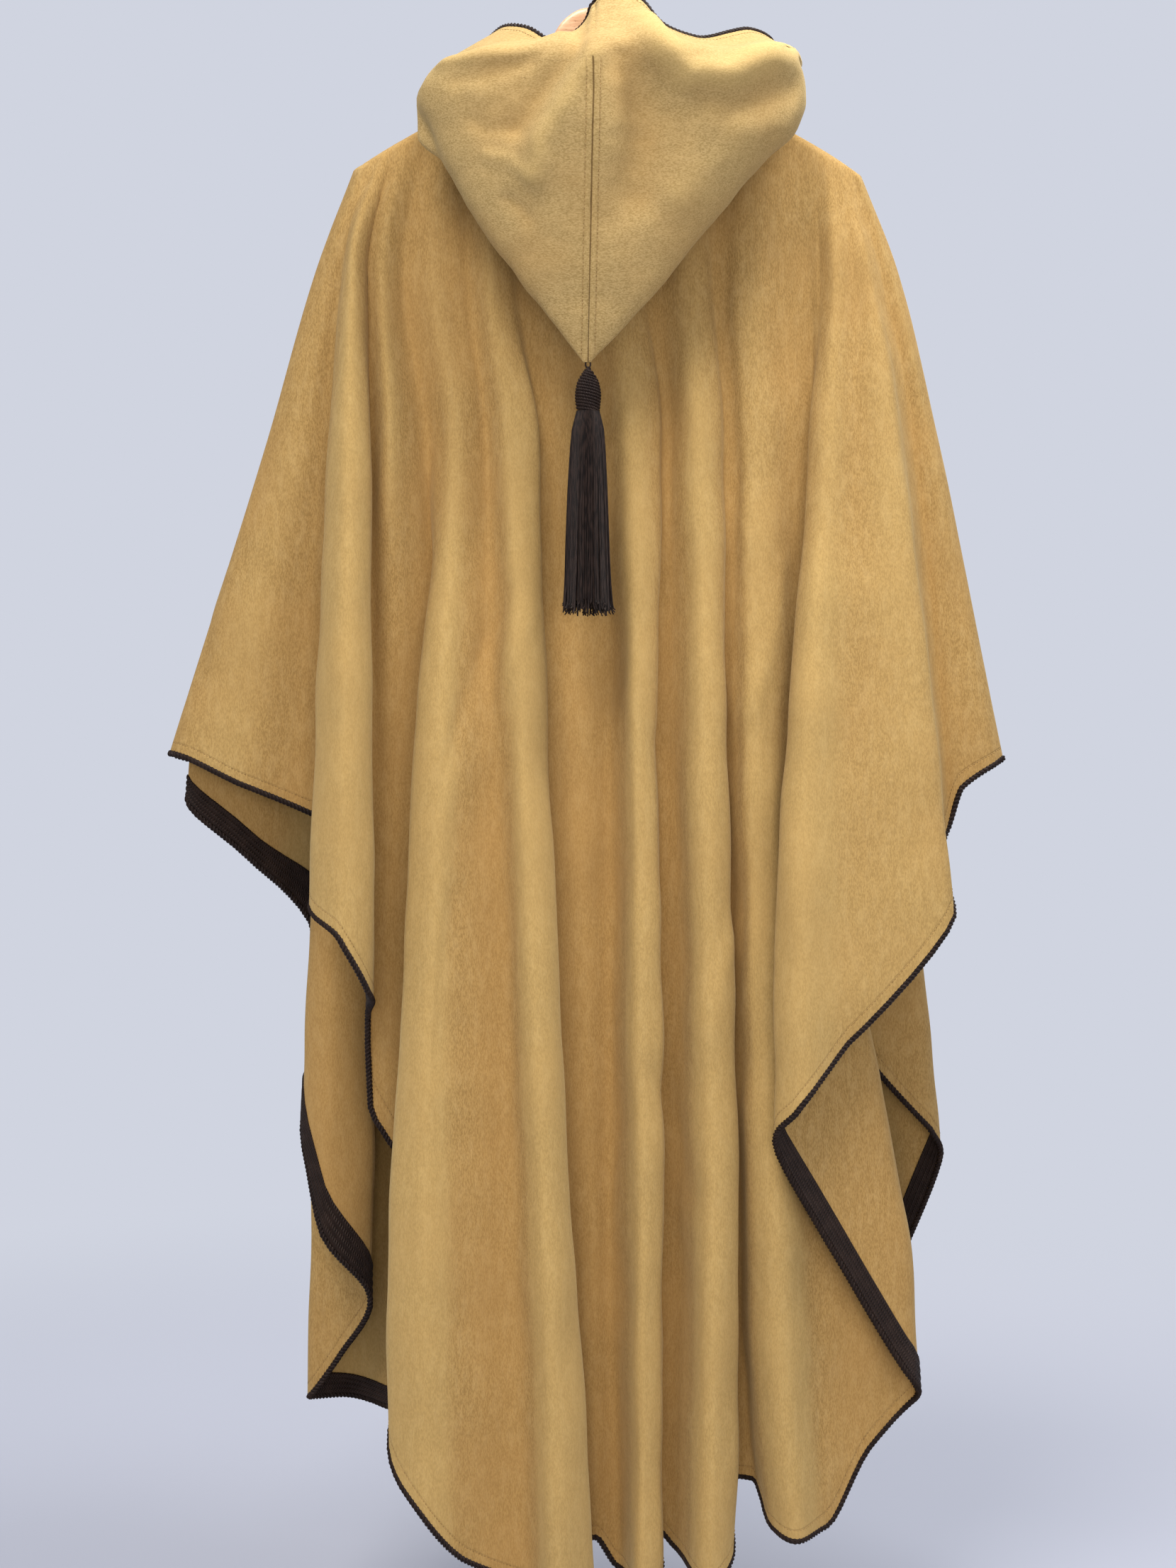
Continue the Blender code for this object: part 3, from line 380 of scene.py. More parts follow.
def brushed_wool(name, fibre_lie, ground_dark, ground_pale):
    """Wool melton, milled and brushed: a matt felt of short fibres lying one way.

    It gives the eye soft pale flecks over a darker ground, a faint halo at grazing
    angles and no weave. Single fibres are 0.03 mm, so tufts of about 1 mm are drawn.
    """
    material, tree, shader = finish_of(name, {
        "Roughness": 0.92, "IOR": 1.45, "Specular IOR Level": 0.15,
        "Sheen Weight": 0.16, "Sheen Roughness": 0.5, "Sheen Tint": linear("F3DFAE"),
    })
    place = add(tree, "TexCoord", {}, "Object")
    lay = add(tree, "Mapping", {"Vector": place, "Scale": fibre_lie})
    tuft = add(tree, "TexNoise", {"Vector": lay, "Scale": per_metre(TUFT), "Detail": 3.0,
                                  "Roughness": 0.6})
    clump = add(tree, "TexNoise", {"Vector": lay, "Scale": per_metre(CLUMP), "Detail": 2.0})
    cloud = add(tree, "TexNoise", {"Vector": place, "Scale": per_metre(CLOUD), "Detail": 2.0})
    crest, edge, seam = (add(tree, "Attribute", {}, "Fac", attribute_name=mark)
                         for mark in ("crest", "edge_mm", "seam_mm"))
    seam_off = add(tree, "Math", {0: seam}, operation="ABSOLUTE")
    rows = []
    for away, inset in ((seam_off, SEAM_STITCH), (edge, STITCH_INSET)):
        off = add(tree, "Math", {0: away, 1: inset}, operation="SUBTRACT")
        rows.append(add(tree, "Math", {0: off}, operation="ABSOLUTE"))
    row_off = add(tree, "Math", {0: rows[0], 1: rows[1]}, operation="MINIMUM")
    tone = tinted(tree, linear(ground_dark), (
        (tuft, 0.36, 0.64, 0.0, 1.0, ground_pale),
        (clump, 0.42, 0.72, 0.0, 0.22, "BA9E6A"),
        (cloud, 0.35, 0.7, 0.0, 0.3, "9F7C49"),
        # Painted light and shade of the folds, from the crest mark: the valleys take a warmer, redder
        # tint and the crests a paler, yellower painted highlight.
        (crest, 0.1, 0.6, 0.26, 0.0, "A9824A"),
        (crest, 0.5, 0.95, 0.0, 0.3, "BDA368"),
        # Painted shade: a dark line down the seam's groove and a faint one along each stitch row's
        # furrow.
        (seam_off, *SEAM_FADE, 0.8, 0.0, "523A1A"),
        (row_off, *ROW_FADE, 0.08, 0.0, "6A4C28"),
    ))
    rise = add(tree, "Math", {0: clump, 1: 0.7, 2: tuft}, operation="MULTIPLY_ADD")
    for off, (low, high), depth in ((seam_off, SEAM_FADE, 2.4), (row_off, ROW_FADE, 1.0)):
        dent = add(tree, "MapRange", {0: off, 1: low, 2: high, 3: depth, 4: 0.0}, **SMOOTH)
        rise = add(tree, "Math", {0: rise, 1: dent}, operation="SUBTRACT")
    bump = add(tree, "Bump", {"Strength": 0.45, "Distance": 0.0006, "Height": rise})
    feed(tree, shader, {"Base Color": tone, "Normal": bump})
    return material


def viscose(name, roughness, rib, lean, pitch, shades, wear, dent):
    """Viscose yarns side by side, pitch apart, slanting by lean and turned back at each rib."""
    dark, pale, worn = shades
    wear_size, wear_share = wear
    material, tree, shader = finish_of(name, {
        "Roughness": roughness, "IOR": 1.5, "Specular IOR Level": 0.18,
        "Sheen Weight": 0.02, "Sheen Roughness": 0.4, "Sheen Tint": linear("8A7464"),
    })
    lay = add(tree, "Attribute", {}, "Vector", attribute_name="lay_mm")
    parts = add(tree, "SeparateXYZ", {0: lay})[0]
    slanted, straight = (parts, 0), (parts, 1)
    if rib:
        turned_back = add(tree, "Math", {0: straight, 1: rib / 2.0}, operation="PINGPONG")
        straight, slanted = slanted, turned_back
    at = add(tree, "Math", {0: slanted, 1: lean, 2: straight}, operation="MULTIPLY_ADD")
    angle = add(tree, "Math", {0: at, 1: TURN / pitch}, operation="MULTIPLY")
    wave = add(tree, "Math", {0: angle}, operation="SINE")
    place = add(tree, "TexCoord", {}, "Object")
    patch = add(tree, "TexNoise", {"Vector": place, "Scale": per_metre(wear_size), "Detail": 3.0})
    # Painted highlight and shade of the yarns: each yarn's raised middle is tinted paler and the
    # groove between yarns darker, in step with the bump.
    tone = tinted(tree, linear(dark), (
        (wave, -1.0, 1.0, 0.0, 1.0, pale), (patch, 0.4, 0.7, 0.0, wear_share, worn)))
    bump = add(tree, "Bump", {"Strength": dent[0], "Distance": dent[1], "Height": wave})
    feed(tree, shader, {"Base Color": tone, "Normal": bump})
    return material


def twisted_viscose(name):
    """Viscose cord, spun and plied: dark brown yarn with a silky lustre along each ply.

    It gives the eye thin bright streaks that follow the twist, painted on each yarn as a highlight.
    The yarns are 0.75 mm.
    """
    return viscose(name, 0.55, None, 0.35, 0.75, ("140D0B", "2B1E19", "33261F"),
                   (9.0, 0.5), (0.5, 0.0002))


def plaited_braid(name):
    """Flat viscose braid, plaited in ribs: small chevrons along each rib.

    It gives the eye a dark herringbone, painted paler on each stitch's middle as a highlight, with a
    dull lustre. A stitch of the plait is 2.6 mm.
    """
    return viscose(name, 0.62, BRAID_WIDTH / BRAID_RIBS, 1.1, 2.6, ("150E0B", "2E211B", "372922"),
                   (12.0, 0.4), (0.7, 0.0005))


def spun_thread(name, dark, pale, roughness):
    """Thread, spun from fine filaments: a soft streak of light along each one."""
    material, tree, shader = finish_of(name, {
        "Roughness": roughness, "IOR": 1.5, "Specular IOR Level": 0.16,
        "Sheen Weight": 0.04, "Sheen Roughness": 0.4,
    })
    place = add(tree, "TexCoord", {}, "Object")
    lay = add(tree, "Mapping", {"Vector": place, "Scale": (1.0, 1.0, 0.12)})
    streak = add(tree, "TexNoise", {"Vector": lay, "Scale": per_metre(1.3), "Detail": 2.0})
    tone = tinted(tree, linear(dark), ((streak, 0.35, 0.65, 0.0, 1.0, pale),))
    feed(tree, shader, {"Base Color": tone})
    return material


def lacquered_beech(name):
    """Beech, sawn, sanded and lacquered: pinkish wood with short dark flecks under a thin gloss."""
    material, tree, shader = finish_of(name, {
        "Roughness": 0.42, "IOR": 1.5, "Coat Weight": 0.35, "Coat Roughness": 0.18,
    })
    place = add(tree, "TexCoord", {}, "Object")
    grain_lie, fleck_lie = (add(tree, "Mapping", {"Vector": place, "Scale": (stretch, 1.0, 1.0)})
                            for stretch in (0.09, 0.3))
    grain = add(tree, "TexNoise", {"Vector": grain_lie, "Scale": per_metre(2.6), "Detail": 4.0,
                                   "Roughness": 0.6})
    fleck = add(tree, "TexNoise", {"Vector": fleck_lie, "Scale": per_metre(0.9), "Detail": 1.0})
    tone = tinted(tree, linear("B8895E"), (
        (grain, 0.35, 0.66, 0.0, 1.0, "CDA279"), (fleck, 0.62, 0.72, 0.0, 0.6, "94633F")))
    bump = add(tree, "Bump", {"Strength": 0.25, "Distance": 0.0002, "Height": grain})
    feed(tree, shader, {"Base Color": tone, "Normal": bump})
    return material


def plated_wire(name):
    """Steel wire, drawn and nickel plated: bright metal with faint marks along it."""
    material, tree, shader = finish_of(name, {"Metallic": 1.0, "Base Color": linear("BFBDB8")})
    place = add(tree, "TexCoord", {}, "Object")
    mark = add(tree, "TexNoise", {"Vector": place, "Scale": per_metre(3.0), "Detail": 4.0})
    rough = add(tree, "MapRange", {0: mark, 1: 0.3, 2: 0.7, 3: 0.18, 4: 0.36}, **SMOOTH)
    feed(tree, shader, {"Roughness": rough})
    return material


def new_piece(name, verts, faces, material, node=None, slot=None, marks=None):
    """A smooth mesh piece in metres; marks are values kept at its points for the finish."""
    mesh = bpy.data.meshes.new(name)
    mesh.from_pydata((np.asarray(verts, float) * MM).tolist(), [], faces)
    mesh.polygons.foreach_set("use_smooth", [True] * len(mesh.polygons))
    mesh.validate()
    mesh.set_sharp_from_angle(angle=math.radians(60.0))
    for key, values in (marks or {}).items():
        values = np.asarray(values, np.float32)
        kind, field = ("FLOAT_VECTOR", "vector") if values.ndim == 2 else ("FLOAT", "value")
        mesh.attributes.new(key, kind, "POINT").data.foreach_set(field, values.ravel())
    mesh.materials.append(material)
    piece = bpy.data.objects.new(name, mesh)
    bpy.context.scene.collection.objects.link(piece)
    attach(piece, "root")
    if node:
        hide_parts(node)
    return piece


def fold_table(text):
    """Rows of a fold table: steps, edge heights, x and y by level."""
    steps, hems, places = [], [], []
    for line in text.strip().splitlines():
        middle, values = line.split("|")[1:]
        step, hem = middle.split()
        steps.append(int(step))
        hems.append(float(hem))
        values = [float(v) for v in values.split()]
        places.append(values + values[-2:] * (len(LEVELS) + 1 - len(values) // 2))
    places = np.array(places)
    return steps, np.array(hems), places[:, 0::2], places[:, 1::2]


def number_table(text, columns):
    """The last numbers of each line of a table."""
    return np.array([line.split()[-columns:] for line in text.strip().splitlines()], float)


def monotone(knots, values, at):
    """Smooth curve through the knots that never overshoots them; knots ascend."""
    knots = np.asarray(knots, float)
    values = np.asarray(values, float)
    at = np.clip(np.asarray(at, float), knots[0], knots[-1])
    h = np.diff(knots)
    d = np.diff(values) / h
    m = np.zeros(len(knots))
    for k in range(1, len(knots) - 1):
        if d[k - 1] * d[k] > 0.0:
            w1 = 2.0 * h[k] + h[k - 1]
            w2 = h[k] + 2.0 * h[k - 1]
            m[k] = (w1 + w2) / (w1 / d[k - 1] + w2 / d[k])
    m[0] = d[0]
    m[-1] = d[-1]
    k = np.clip(np.searchsorted(knots, at, side="right") - 1, 0, len(h) - 1)
    t = (at - knots[k]) / h[k]
    a = (1.0 + 2.0 * t) * (1.0 - t) ** 2
    b = t * (1.0 - t) ** 2
    c = t * t * (3.0 - 2.0 * t)
    e = t * t * (t - 1.0)
    return a * values[k] + b * h[k] * m[k] + c * values[k + 1] + e * h[k] * m[k + 1]


def rounded(p0, p1, p2, p3, u):
    """Centripetal curve between p1 and p2 at fraction u; arrays of 2-D points."""
    t1 = np.sqrt(np.linalg.norm(p1 - p0, axis=1)) + 1e-6
    t2 = t1 + np.sqrt(np.linalg.norm(p2 - p1, axis=1)) + 1e-6
    t3 = t2 + np.sqrt(np.linalg.norm(p3 - p2, axis=1)) + 1e-6
    t = t1 + (t2 - t1) * u
    t, t1, t2, t3 = (v[:, None] for v in (t, t1, t2, t3))
    a1 = p0 + (p1 - p0) * t / t1
    a2 = p1 + (p2 - p1) * (t - t1) / (t2 - t1)
    a3 = p2 + (p3 - p2) * (t - t2) / (t3 - t2)
    b1 = a1 + (a2 - a1) * t / t2
    b2 = a2 + (a3 - a2) * (t - t1) / (t3 - t1)
    return b1 + (b2 - b1) * (t - t1) / (t2 - t1)


def unit(values):
    """Vectors made one long."""
    return values / np.maximum(np.linalg.norm(values, axis=-1, keepdims=True), 1e-9)


def shoulder(x):
    """Height of the fold over the hanger at x, level across the neck."""
    f = max(0.0, (abs(x) - NECK_HALF) / (TIP_HALF - NECK_HALF))
    return NECK_Z - TIP_DROP * f - 6.0 * f ** 6


def cape_sheet(text, side, open_end):
    """Middle surface of a cape sheet as points[column, row] from the shoulder to the edge.

    side is -1 for the back and 1 for a front; open_end: the last fold is the front opening.
    The last rows are the band that the braid covers.
    """
    steps, hems, xs, ys = fold_table(text)
    last = len(steps) - 1
    columns = [(i, k / (n * FINE_COLUMNS))
               for i, n in enumerate(steps[:-1]) for k in range(n * FINE_COLUMNS)]
    columns.append((last - 1, 1.0))
    where = np.array([i + u for i, u in columns])
    index = np.arange(last + 1, dtype=float)
    x_top = monotone(index, xs[:, 0], where)
    edge = monotone(index, hems, where)
    top = np.array([shoulder(x) for x in x_top])
    neck = np.clip(1.0 - (x_top / NECK_HALF) ** 2, 0.0, 1.0)
    top = top - (BACK_NECK_DIP if side < 0 else FRONT_NECK_DIP) * neck
    knots = [[-z for z in (shoulder(x),) + LEVELS] for x in xs[:, 0]]
    rows = len(SHOULDER_ROWS) + 1 + FINE_ROWS + BAND_ROWS
    points = np.zeros((len(columns), rows, 3))
    braid = np.full(len(columns), BRAID_WIDTH)
    share = np.arange(1, FINE_ROWS + 1) / FINE_ROWS
    for lap in range(2):
        for c, (i, u) in enumerate(columns):
            up, run = edge[c] + braid[c], top[c] - SHOULDER_ROUND
            power = FULL_DEPTH / (run - up)
            fall = 0.5 * (1.0 - (1.0 - share) ** power) + 0.5 * share
            z = np.concatenate([
                top[c] - np.array(SHOULDER_ROWS), [run], run + (up - run) * fall,
                up + (edge[c] - up) * np.arange(1, BAND_ROWS + 1) / BAND_ROWS,
            ])
            near = []
            for j in (i - 1, i, i + 1, i + 2):
                k = min(max(j, 0), last)
                near.append(np.stack([monotone(knots[k], v[k], -z) for v in (xs, ys)], axis=1))
            if i == 0:
                near[0] = near[2] * (1.0, -1.0)
            if i + 2 > last:
                near[3] = 2.0 * near[2] - near[1] if open_end else near[1] * (1.0, -1.0)
            flat = rounded(*near, np.full(len(z), u))
            depth = np.clip((shoulder(x_top[c]) - z) / SHOULDER_ROUND, 0.0, 1.0)
            flat[:, 1] *= np.sqrt(1.0 - (1.0 - depth) ** 2)
            points[c, :, 0:2] = flat
            points[c, :, 2] = z
        braid = band_heights(points[:, -1], braid_start(side))
    return on_its_side(points, side)


def braid_start(side):
    """First column under the braid: on a front it starts past the sleeve tip."""
    return 1 if side < 0 else 2 * FINE_COLUMNS


def band_heights(hem, first):
    """How far above the edge each column meets the line that runs the braid's width inside it."""
    run = np.linalg.norm(np.diff(hem[:, :2], axis=0), axis=1) + 0.3 / FINE_COLUMNS
    flat = np.stack([np.concatenate([[0.0], np.cumsum(run)]), hem[:, 2]], axis=1)
    start, along = flat[first:-1], np.diff(flat[first:], axis=0)
    rises = np.arange(*BAND_RISES)
    heights = np.zeros(len(hem))
    for c, (s, z) in enumerate(flat):
        off = np.stack([np.full(len(rises), s), z + rises], axis=1)[:, None] - start[None]
        t = np.clip((off * along).sum(axis=2) / (along ** 2).sum(axis=1), 0.0, 1.0)
        away = np.linalg.norm(off - t[:, :, None] * along, axis=2).min(axis=1)
        heights[c] = np.interp(BRAID_WIDTH, np.maximum.accumulate(away), rises)
    heights[:first] = heights[first]
    for lap in range(2 * FINE_COLUMNS ** 2):
        heights = evened(heights)
    return heights


def evened(values):
    """A row of values, each inner one averaged with its neighbours."""
    inner = (values[:-2] + 2.0 * values[1:-1] + values[2:]) / 4.0
    return np.concatenate([values[:1], inner, values[-1:]])


def on_its_side(points, side):
    """Keeps a sheet on its own side of the plane of the shoulder fold."""
    nearer = np.minimum if side < 0 else np.maximum
    points[:, :, 1] = nearer(points[:, :, 1], side * SEAM_GAP / 2.0)
    return points


def grid_normals(points, closed=False):
    """Unit normals of points[column, row], averaged from its faces; closed joins the columns."""
    ahead = np.roll(points, -1, axis=0) if closed else points[1:]
    here = points if closed else points[:-1]
    face = np.cross(ahead[:, 1:] - here[:, :-1], here[:, 1:] - ahead[:, :-1])
    normals = np.zeros_like(points)
    if closed:
        face += np.roll(face, 1, axis=0)
        normals[:, 1:] += face
        normals[:, :-1] += face
    else:
        for a, b in ((slice(1, None), slice(1, None)), (slice(None, -1), slice(1, None)),
                     (slice(1, None), slice(None, -1)), (slice(None, -1), slice(None, -1))):
            normals[a, b] += face
    return unit(normals)


def cape_normals(points, side, open_end):
    """Normals pointing out of the garment; on the shoulder fold they lie in its plane."""
    normals = grid_normals(points)
    if normals[:, :, 1].sum() * side < 0.0:
        normals = -normals
    for line in ([0] if open_end else [0, -1]):
        normals[line, :, 1] = 0.0
    over = np.abs(points[:, 0, 0]) >= NECK_HALF
    normals[over, 0, 1] = 0.0
    return unit(normals)


def handled(points, waves):
    """Height of the soft unevenness that handling leaves, at each point."""
    total = np.zeros(points.shape[:-1])
    for wide, tall, height, shift in waves:
        out = np.empty(total.shape)
        for at in np.ndindex(out.shape):
            x, y, z = points[at]
            out[at] = noise.noise(Vector((x / wide + shift, y / wide, z / tall)))
        total += out * height
    return total


def rumple(points, normals, side):
    """A cape sheet with the slight waves of real cloth between its folds."""
    rise = handled(points, CAPE_WAVES)
    if side < 0:
        rise += crease_rise(BACK_CREASES, points[:, :, 0], points[:, :, 2])
    off_plane = np.clip(np.abs(points[:, :, 1]) / STILL_DEPTH, 0.0, 1.0)
    down = np.clip((points[:, :1, 2] - points[:, :, 2] - 6.0) / STILL_TOP, 0.0, 1.0)
    return on_its_side(points + normals * (rise * off_plane * down)[:, :, None], side)


def crest_of(points):
    """0 in a valley of the folds and 1 on a crest, from the depth beside it: the mark for the painted
    light and shade of the folds.
    """
    depth = np.abs(points[:, :, 1])
    reach = 5 * FINE_COLUMNS
    padded = np.pad(depth, ((reach, reach), (0, 0)), mode="edge")
    total = np.cumsum(np.concatenate([np.zeros((1, depth.shape[1])), padded]), axis=0)
    level = (total[2 * reach + 1:] - total[:-2 * reach - 1]) / (2 * reach + 1)
    return np.clip(0.5 + (depth - level) / CREST_DEPTH, 0.0, 1.0)


def wall_faces(cols, rows, closed):
    """Faces of a wall whose outer points come first and whose inner points follow."""
    base = cols * rows
    faces = []
    for c in range(cols if closed else cols - 1):
        a, b = c * rows, (c + 1) % cols * rows
        for r in range(rows - 1):
            faces.append((a + r, b + r, b + r + 1, a + r + 1))
            faces.append((base + a + r, base + a + r + 1, base + b + r + 1, base + b + r))
        faces.append((a, base + a, base + b, b))
        a, b = a + rows - 1, b + rows - 1
        faces.append((a, b, base + b, base + a))
    if not closed:
        z = (cols - 1) * rows
        for r in range(rows - 1):
            faces.append((r, r + 1, base + r + 1, base + r))
            faces.append((z + r, base + z + r, base + z + r + 1, z + r + 1))
    return faces


def shell(outer, inner, closed=False):
    """Points and faces of a closed wall between two grids of points[column, row]."""
    verts = np.concatenate([outer.reshape(-1, 3), inner.reshape(-1, 3)])
    faces = wall_faces(*outer.shape[:2], closed)
    a, b, c, d = faces[len(faces) // 4 * 2]
    count, lowest = len(verts) // 2, min(a, b, c, d)
    out = (verts[:count] - verts[count:])[lowest % count] * (1.0 if lowest < count else -1.0)
    across = np.cross(verts[c] - verts[a], verts[d] - verts[b])
    return verts, [f[::-1] for f in faces] if across @ out < 0.0 else faces


def wall(name, outer, inner, material, closed=False, **given):
    """A wall of cloth with its marks for the finish."""
    given["marks"] = {k: np.tile(v.reshape(-1), 2) for k, v in given["marks"].items()}
    return new_piece(name, *shell(outer, inner, closed), material, **given)


def arc_of(path):
    """Length run at each point of a path."""
    return np.concatenate([[0.0], np.cumsum(np.linalg.norm(np.diff(path, axis=0), axis=1))])


def spaced(path, step, *along):
    """A path with points an even step apart, and the values along it at the same places."""
    arc = arc_of(path)
    at = np.linspace(0.0, arc[-1], max(2, int(round(arc[-1] / step)) + 1))
    out = [at]
    for values in (path, *along):
        out.append(np.stack([np.interp(at, arc, values[:, k]) for k in range(3)], axis=1))
    return out


def tube_faces(count, sides):
    """Faces of a tube of that many rings, with both ends closed."""
    rings = np.arange(count * sides).reshape(count, sides)
    beside = np.roll(rings, -1, axis=1)
    quads = np.stack([rings[:-1], beside[:-1], beside[1:], rings[1:]], axis=2).reshape(-1, 4)
    return quads.tolist() + [rings[0, ::-1].tolist(), rings[-1].tolist()]


def round_bar(path, across, radii, arc, turn=0.0, lobes=(1.0,), sides=12):
    """Points and faces of a bar along a path; lobes shape its section, turn twists it per mm."""
    tangent = unit(np.gradient(path, axis=0))
    across = unit(across - tangent * np.sum(across * tangent, axis=1, keepdims=True))
    up = np.cross(tangent, across)
    k = np.arange(sides)
    angle = TURN * (k[None] / sides + arc[:, None] * turn)
    lobe = np.array(lobes)[k % len(lobes)]
    size = np.broadcast_to(np.asarray(radii, float), (len(path),))[:, None] * lobe[None]
    verts = path[:, None] + size[:, :, None] * (
        np.cos(angle)[:, :, None] * across[:, None] + np.sin(angle)[:, :, None] * up[:, None])
    lay = np.stack([np.broadcast_to(arc[:, None], angle.shape),
                    np.broadcast_to(k[None] * TURN / sides, angle.shape) * size,
                    np.zeros_like(angle)], axis=2)
    return verts.reshape(-1, 3), tube_faces(len(path), sides), lay.reshape(-1, 3)


def plied_cord(name, path, across, material, node):
    """The three-ply cord sewn along an edge."""
    arc, path, across = spaced(path, CORD_STEP * (1.0), across)
    verts, faces, lay = round_bar(path, across, CORD_R, arc, 1.0 / CORD_PITCH,
                                  PLY_SECTION, CORD_PLIES * len(PLY_SECTION))
    return new_piece(name, verts, faces, material, node, "trim", {"lay_mm": lay})


def joined(parts):
    """Several (points, faces) as one."""
    verts, faces, base = [], [], 0
    for points, quads in parts:
        verts.append(points)
        faces += [tuple(v + base for v in q) for q in quads]
        base += len(points)
    return np.concatenate(verts), faces


def stitch_row(name, line, normals, material):
    """A row of small stitches lying on the cloth along a line."""
    line, normals = spaced(line, STITCH_PITCH, normals)[1:]
    tangent, normals = unit(np.gradient(line, axis=0)), unit(normals)
    parts = []
    along, lift, radii = np.array(STITCH_SHAPE).T
    ends = along * STITCH_LONG
    for p, t, n in zip(line[1:-1], tangent[1:-1], normals[1:-1]):
        path = p + ends[:, None] * t + n * lift[:, None]
        parts.append(round_bar(path, np.tile(n, (4, 1)), radii, ends, sides=4)[:2])
    return new_piece(name, *joined(parts), material)


def edge_of(points, normals, open_end):
    """Edge line of a sheet with its outward directions.

    The line runs along the hem and, on a front, on up the opening to the neck.
    """
    line, inside, normal = points[:, -1], points[:, -2], normals[:, -1]
    if open_end:
        line = np.concatenate([line, points[-1, -2::-1]])
        inside = np.concatenate([inside[:-1], points[-2:-1, -2], points[-2, -2::-1]])
        normal = np.concatenate([normal, normals[-1, -2::-1]])
    tangent = unit(np.gradient(line, axis=0))
    away = unit(np.cross(tangent, normal))
    turn = np.sign(np.sum(away * (line - inside), axis=1)).sum()
    return line, away if turn >= 0.0 else -away


def softened(values, laps):
    """A line of directions softened along its length."""
    for lap in range(laps):
        values = unit(evened(values))
    return values


def cape_cord(name, points, normals, open_end, material):
    """The edge cord of a sheet, tucked together with its neighbour at the sleeve tip."""
    line, away = edge_of(points, normals, open_end)
    away = softened(away, 2 * FINE_COLUMNS)
    path = line + away * (CORD_R - CORD_IN)
    side = 1.0 if open_end else -1.0
    arc = arc_of(path)
    for end in ([0] if open_end else [0, -1]):
        out = math.copysign(0.5, line[end][0])
        shift = line[end] + (out, side * (CORD_R + CORD_APART), -CORD_R) - path[end]
        pull = np.clip(1.0 - np.abs(arc - arc[end]) / CORD_TUCK, 0.0, 1.0) ** 2
        path = path + pull[:, None] * shift
    return plied_cord(name + "_edge_cord", path, away, material, name + "_cord")


def ribbed_band(name, points, normals, side, material):
    """The braid on the inner face: ribs along its length, over the sheet's band rows."""
    keep = slice(braid_start(side), -1)
    rows = np.linspace(0.0, BAND_ROWS, 4 * BRAID_RIBS + 1)
    facing = normals[keep, -BAND_ROWS - 1:]
    band = points[keep, -BAND_ROWS - 1:] - facing * (WALL / 2.0 + BRAID_GAP)
    k = np.minimum(rows.astype(int), BAND_ROWS - 1)
    t = (rows - k)[None, :, None]
    near = band[:, k] * (1.0 - t) + band[:, k + 1] * t
    facing = unit(facing[:, k] * (1.0 - t) + facing[:, k + 1] * t)
    hollow, swell, power = BRAID_SWELL
    thick = hollow + swell * np.abs(np.sin(np.pi * np.arange(len(rows)) / 4.0)) ** power
    far = near - facing * (BRAID_THICK * thick)[None, :, None]
    arc = arc_of(points[keep, -1])
    across = rows / BAND_ROWS * BRAID_WIDTH
    lay = np.stack(np.broadcast_arrays(arc[:, None], across[None], 0.0), axis=2).reshape(-1, 3)
    return new_piece(name + "_inner_braid", *shell(near, far), material, name + "_braid", "trim",
                     {"lay_mm": np.tile(lay, (2, 1))})


def cape_piece(name, text, side, open_end, finishes):
    """One sheet of the cape with its edge cord, inner braid and stitches."""
    wool, cord, braid, thread = finishes
    points = cape_sheet(text, side, open_end)
    normals = cape_normals(points, side, open_end)
    points = rumple(points, normals, side)
    normals = cape_normals(points, side, open_end)
    edge_mm = np.full(points.shape[:2], FAR)
    edge_mm[:, -BAND_ROWS - 1:] = BRAID_WIDTH * (1.0 - np.arange(BAND_ROWS + 1) / BAND_ROWS)
    marks = {"crest": crest_of(points), "edge_mm": edge_mm, "seam_mm": np.full(edge_mm.shape, FAR)}
    cloth = wall(name + "_cloth", points + normals * WALL / 2.0, points - normals * WALL / 2.0,
                 wool, node=name, slot="wool", marks=marks)
    trim = [cape_cord(name, points, normals, open_end, cord),
            ribbed_band(name, points, normals, side, braid)]
    row = BAND_ROWS * (1.0 - STITCH_INSET / BRAID_WIDTH)
    k, t = int(row), row - int(row)
    first = points.shape[1] - BAND_ROWS - 1 + k
    line = points[:, first] * (1.0 - t) + points[:, first + 1] * t
    facing = normals[:, first]
    trim.append(stitch_row(name + "_stitches", line + facing * WALL / 2.0, facing, thread))


def hood_bulge(x, z):
    """Height of the large soft forms of the hood's seen side at x, z."""
    rise = np.zeros_like(x)
    for cx, cz, half_l, half_w, turn, height in number_table(HOOD_BULGES, 6):
        c, s = math.cos(math.radians(turn)), math.sin(math.radians(turn))
        u = (x - cx) * c + (z - cz) * s
        v = -(x - cx) * s + (z - cz) * c
        rise += height * np.exp(-((u / half_l) ** 2) - (v / half_w) ** 2)
    return rise


def crease_rise(creases, x, z):
    """Height of fine creases at x, z."""
    rise = np.zeros_like(x)
    for height, half_w, line in creases:
        knots = np.array(line, float).reshape(-1, 2)
        near = np.full_like(x, 1e9)
        for (px, pz), (dx, dz) in zip(knots, np.diff(knots, axis=0)):
            t = np.clip(((x - px) * dx + (z - pz) * dz) / (dx * dx + dz * dz), 0.0, 1.0)
            near = np.minimum(near, np.hypot(x - px - t * dx, z - pz - t * dz))
        rise += height * np.exp(-((near / half_w) ** 2))
    return rise


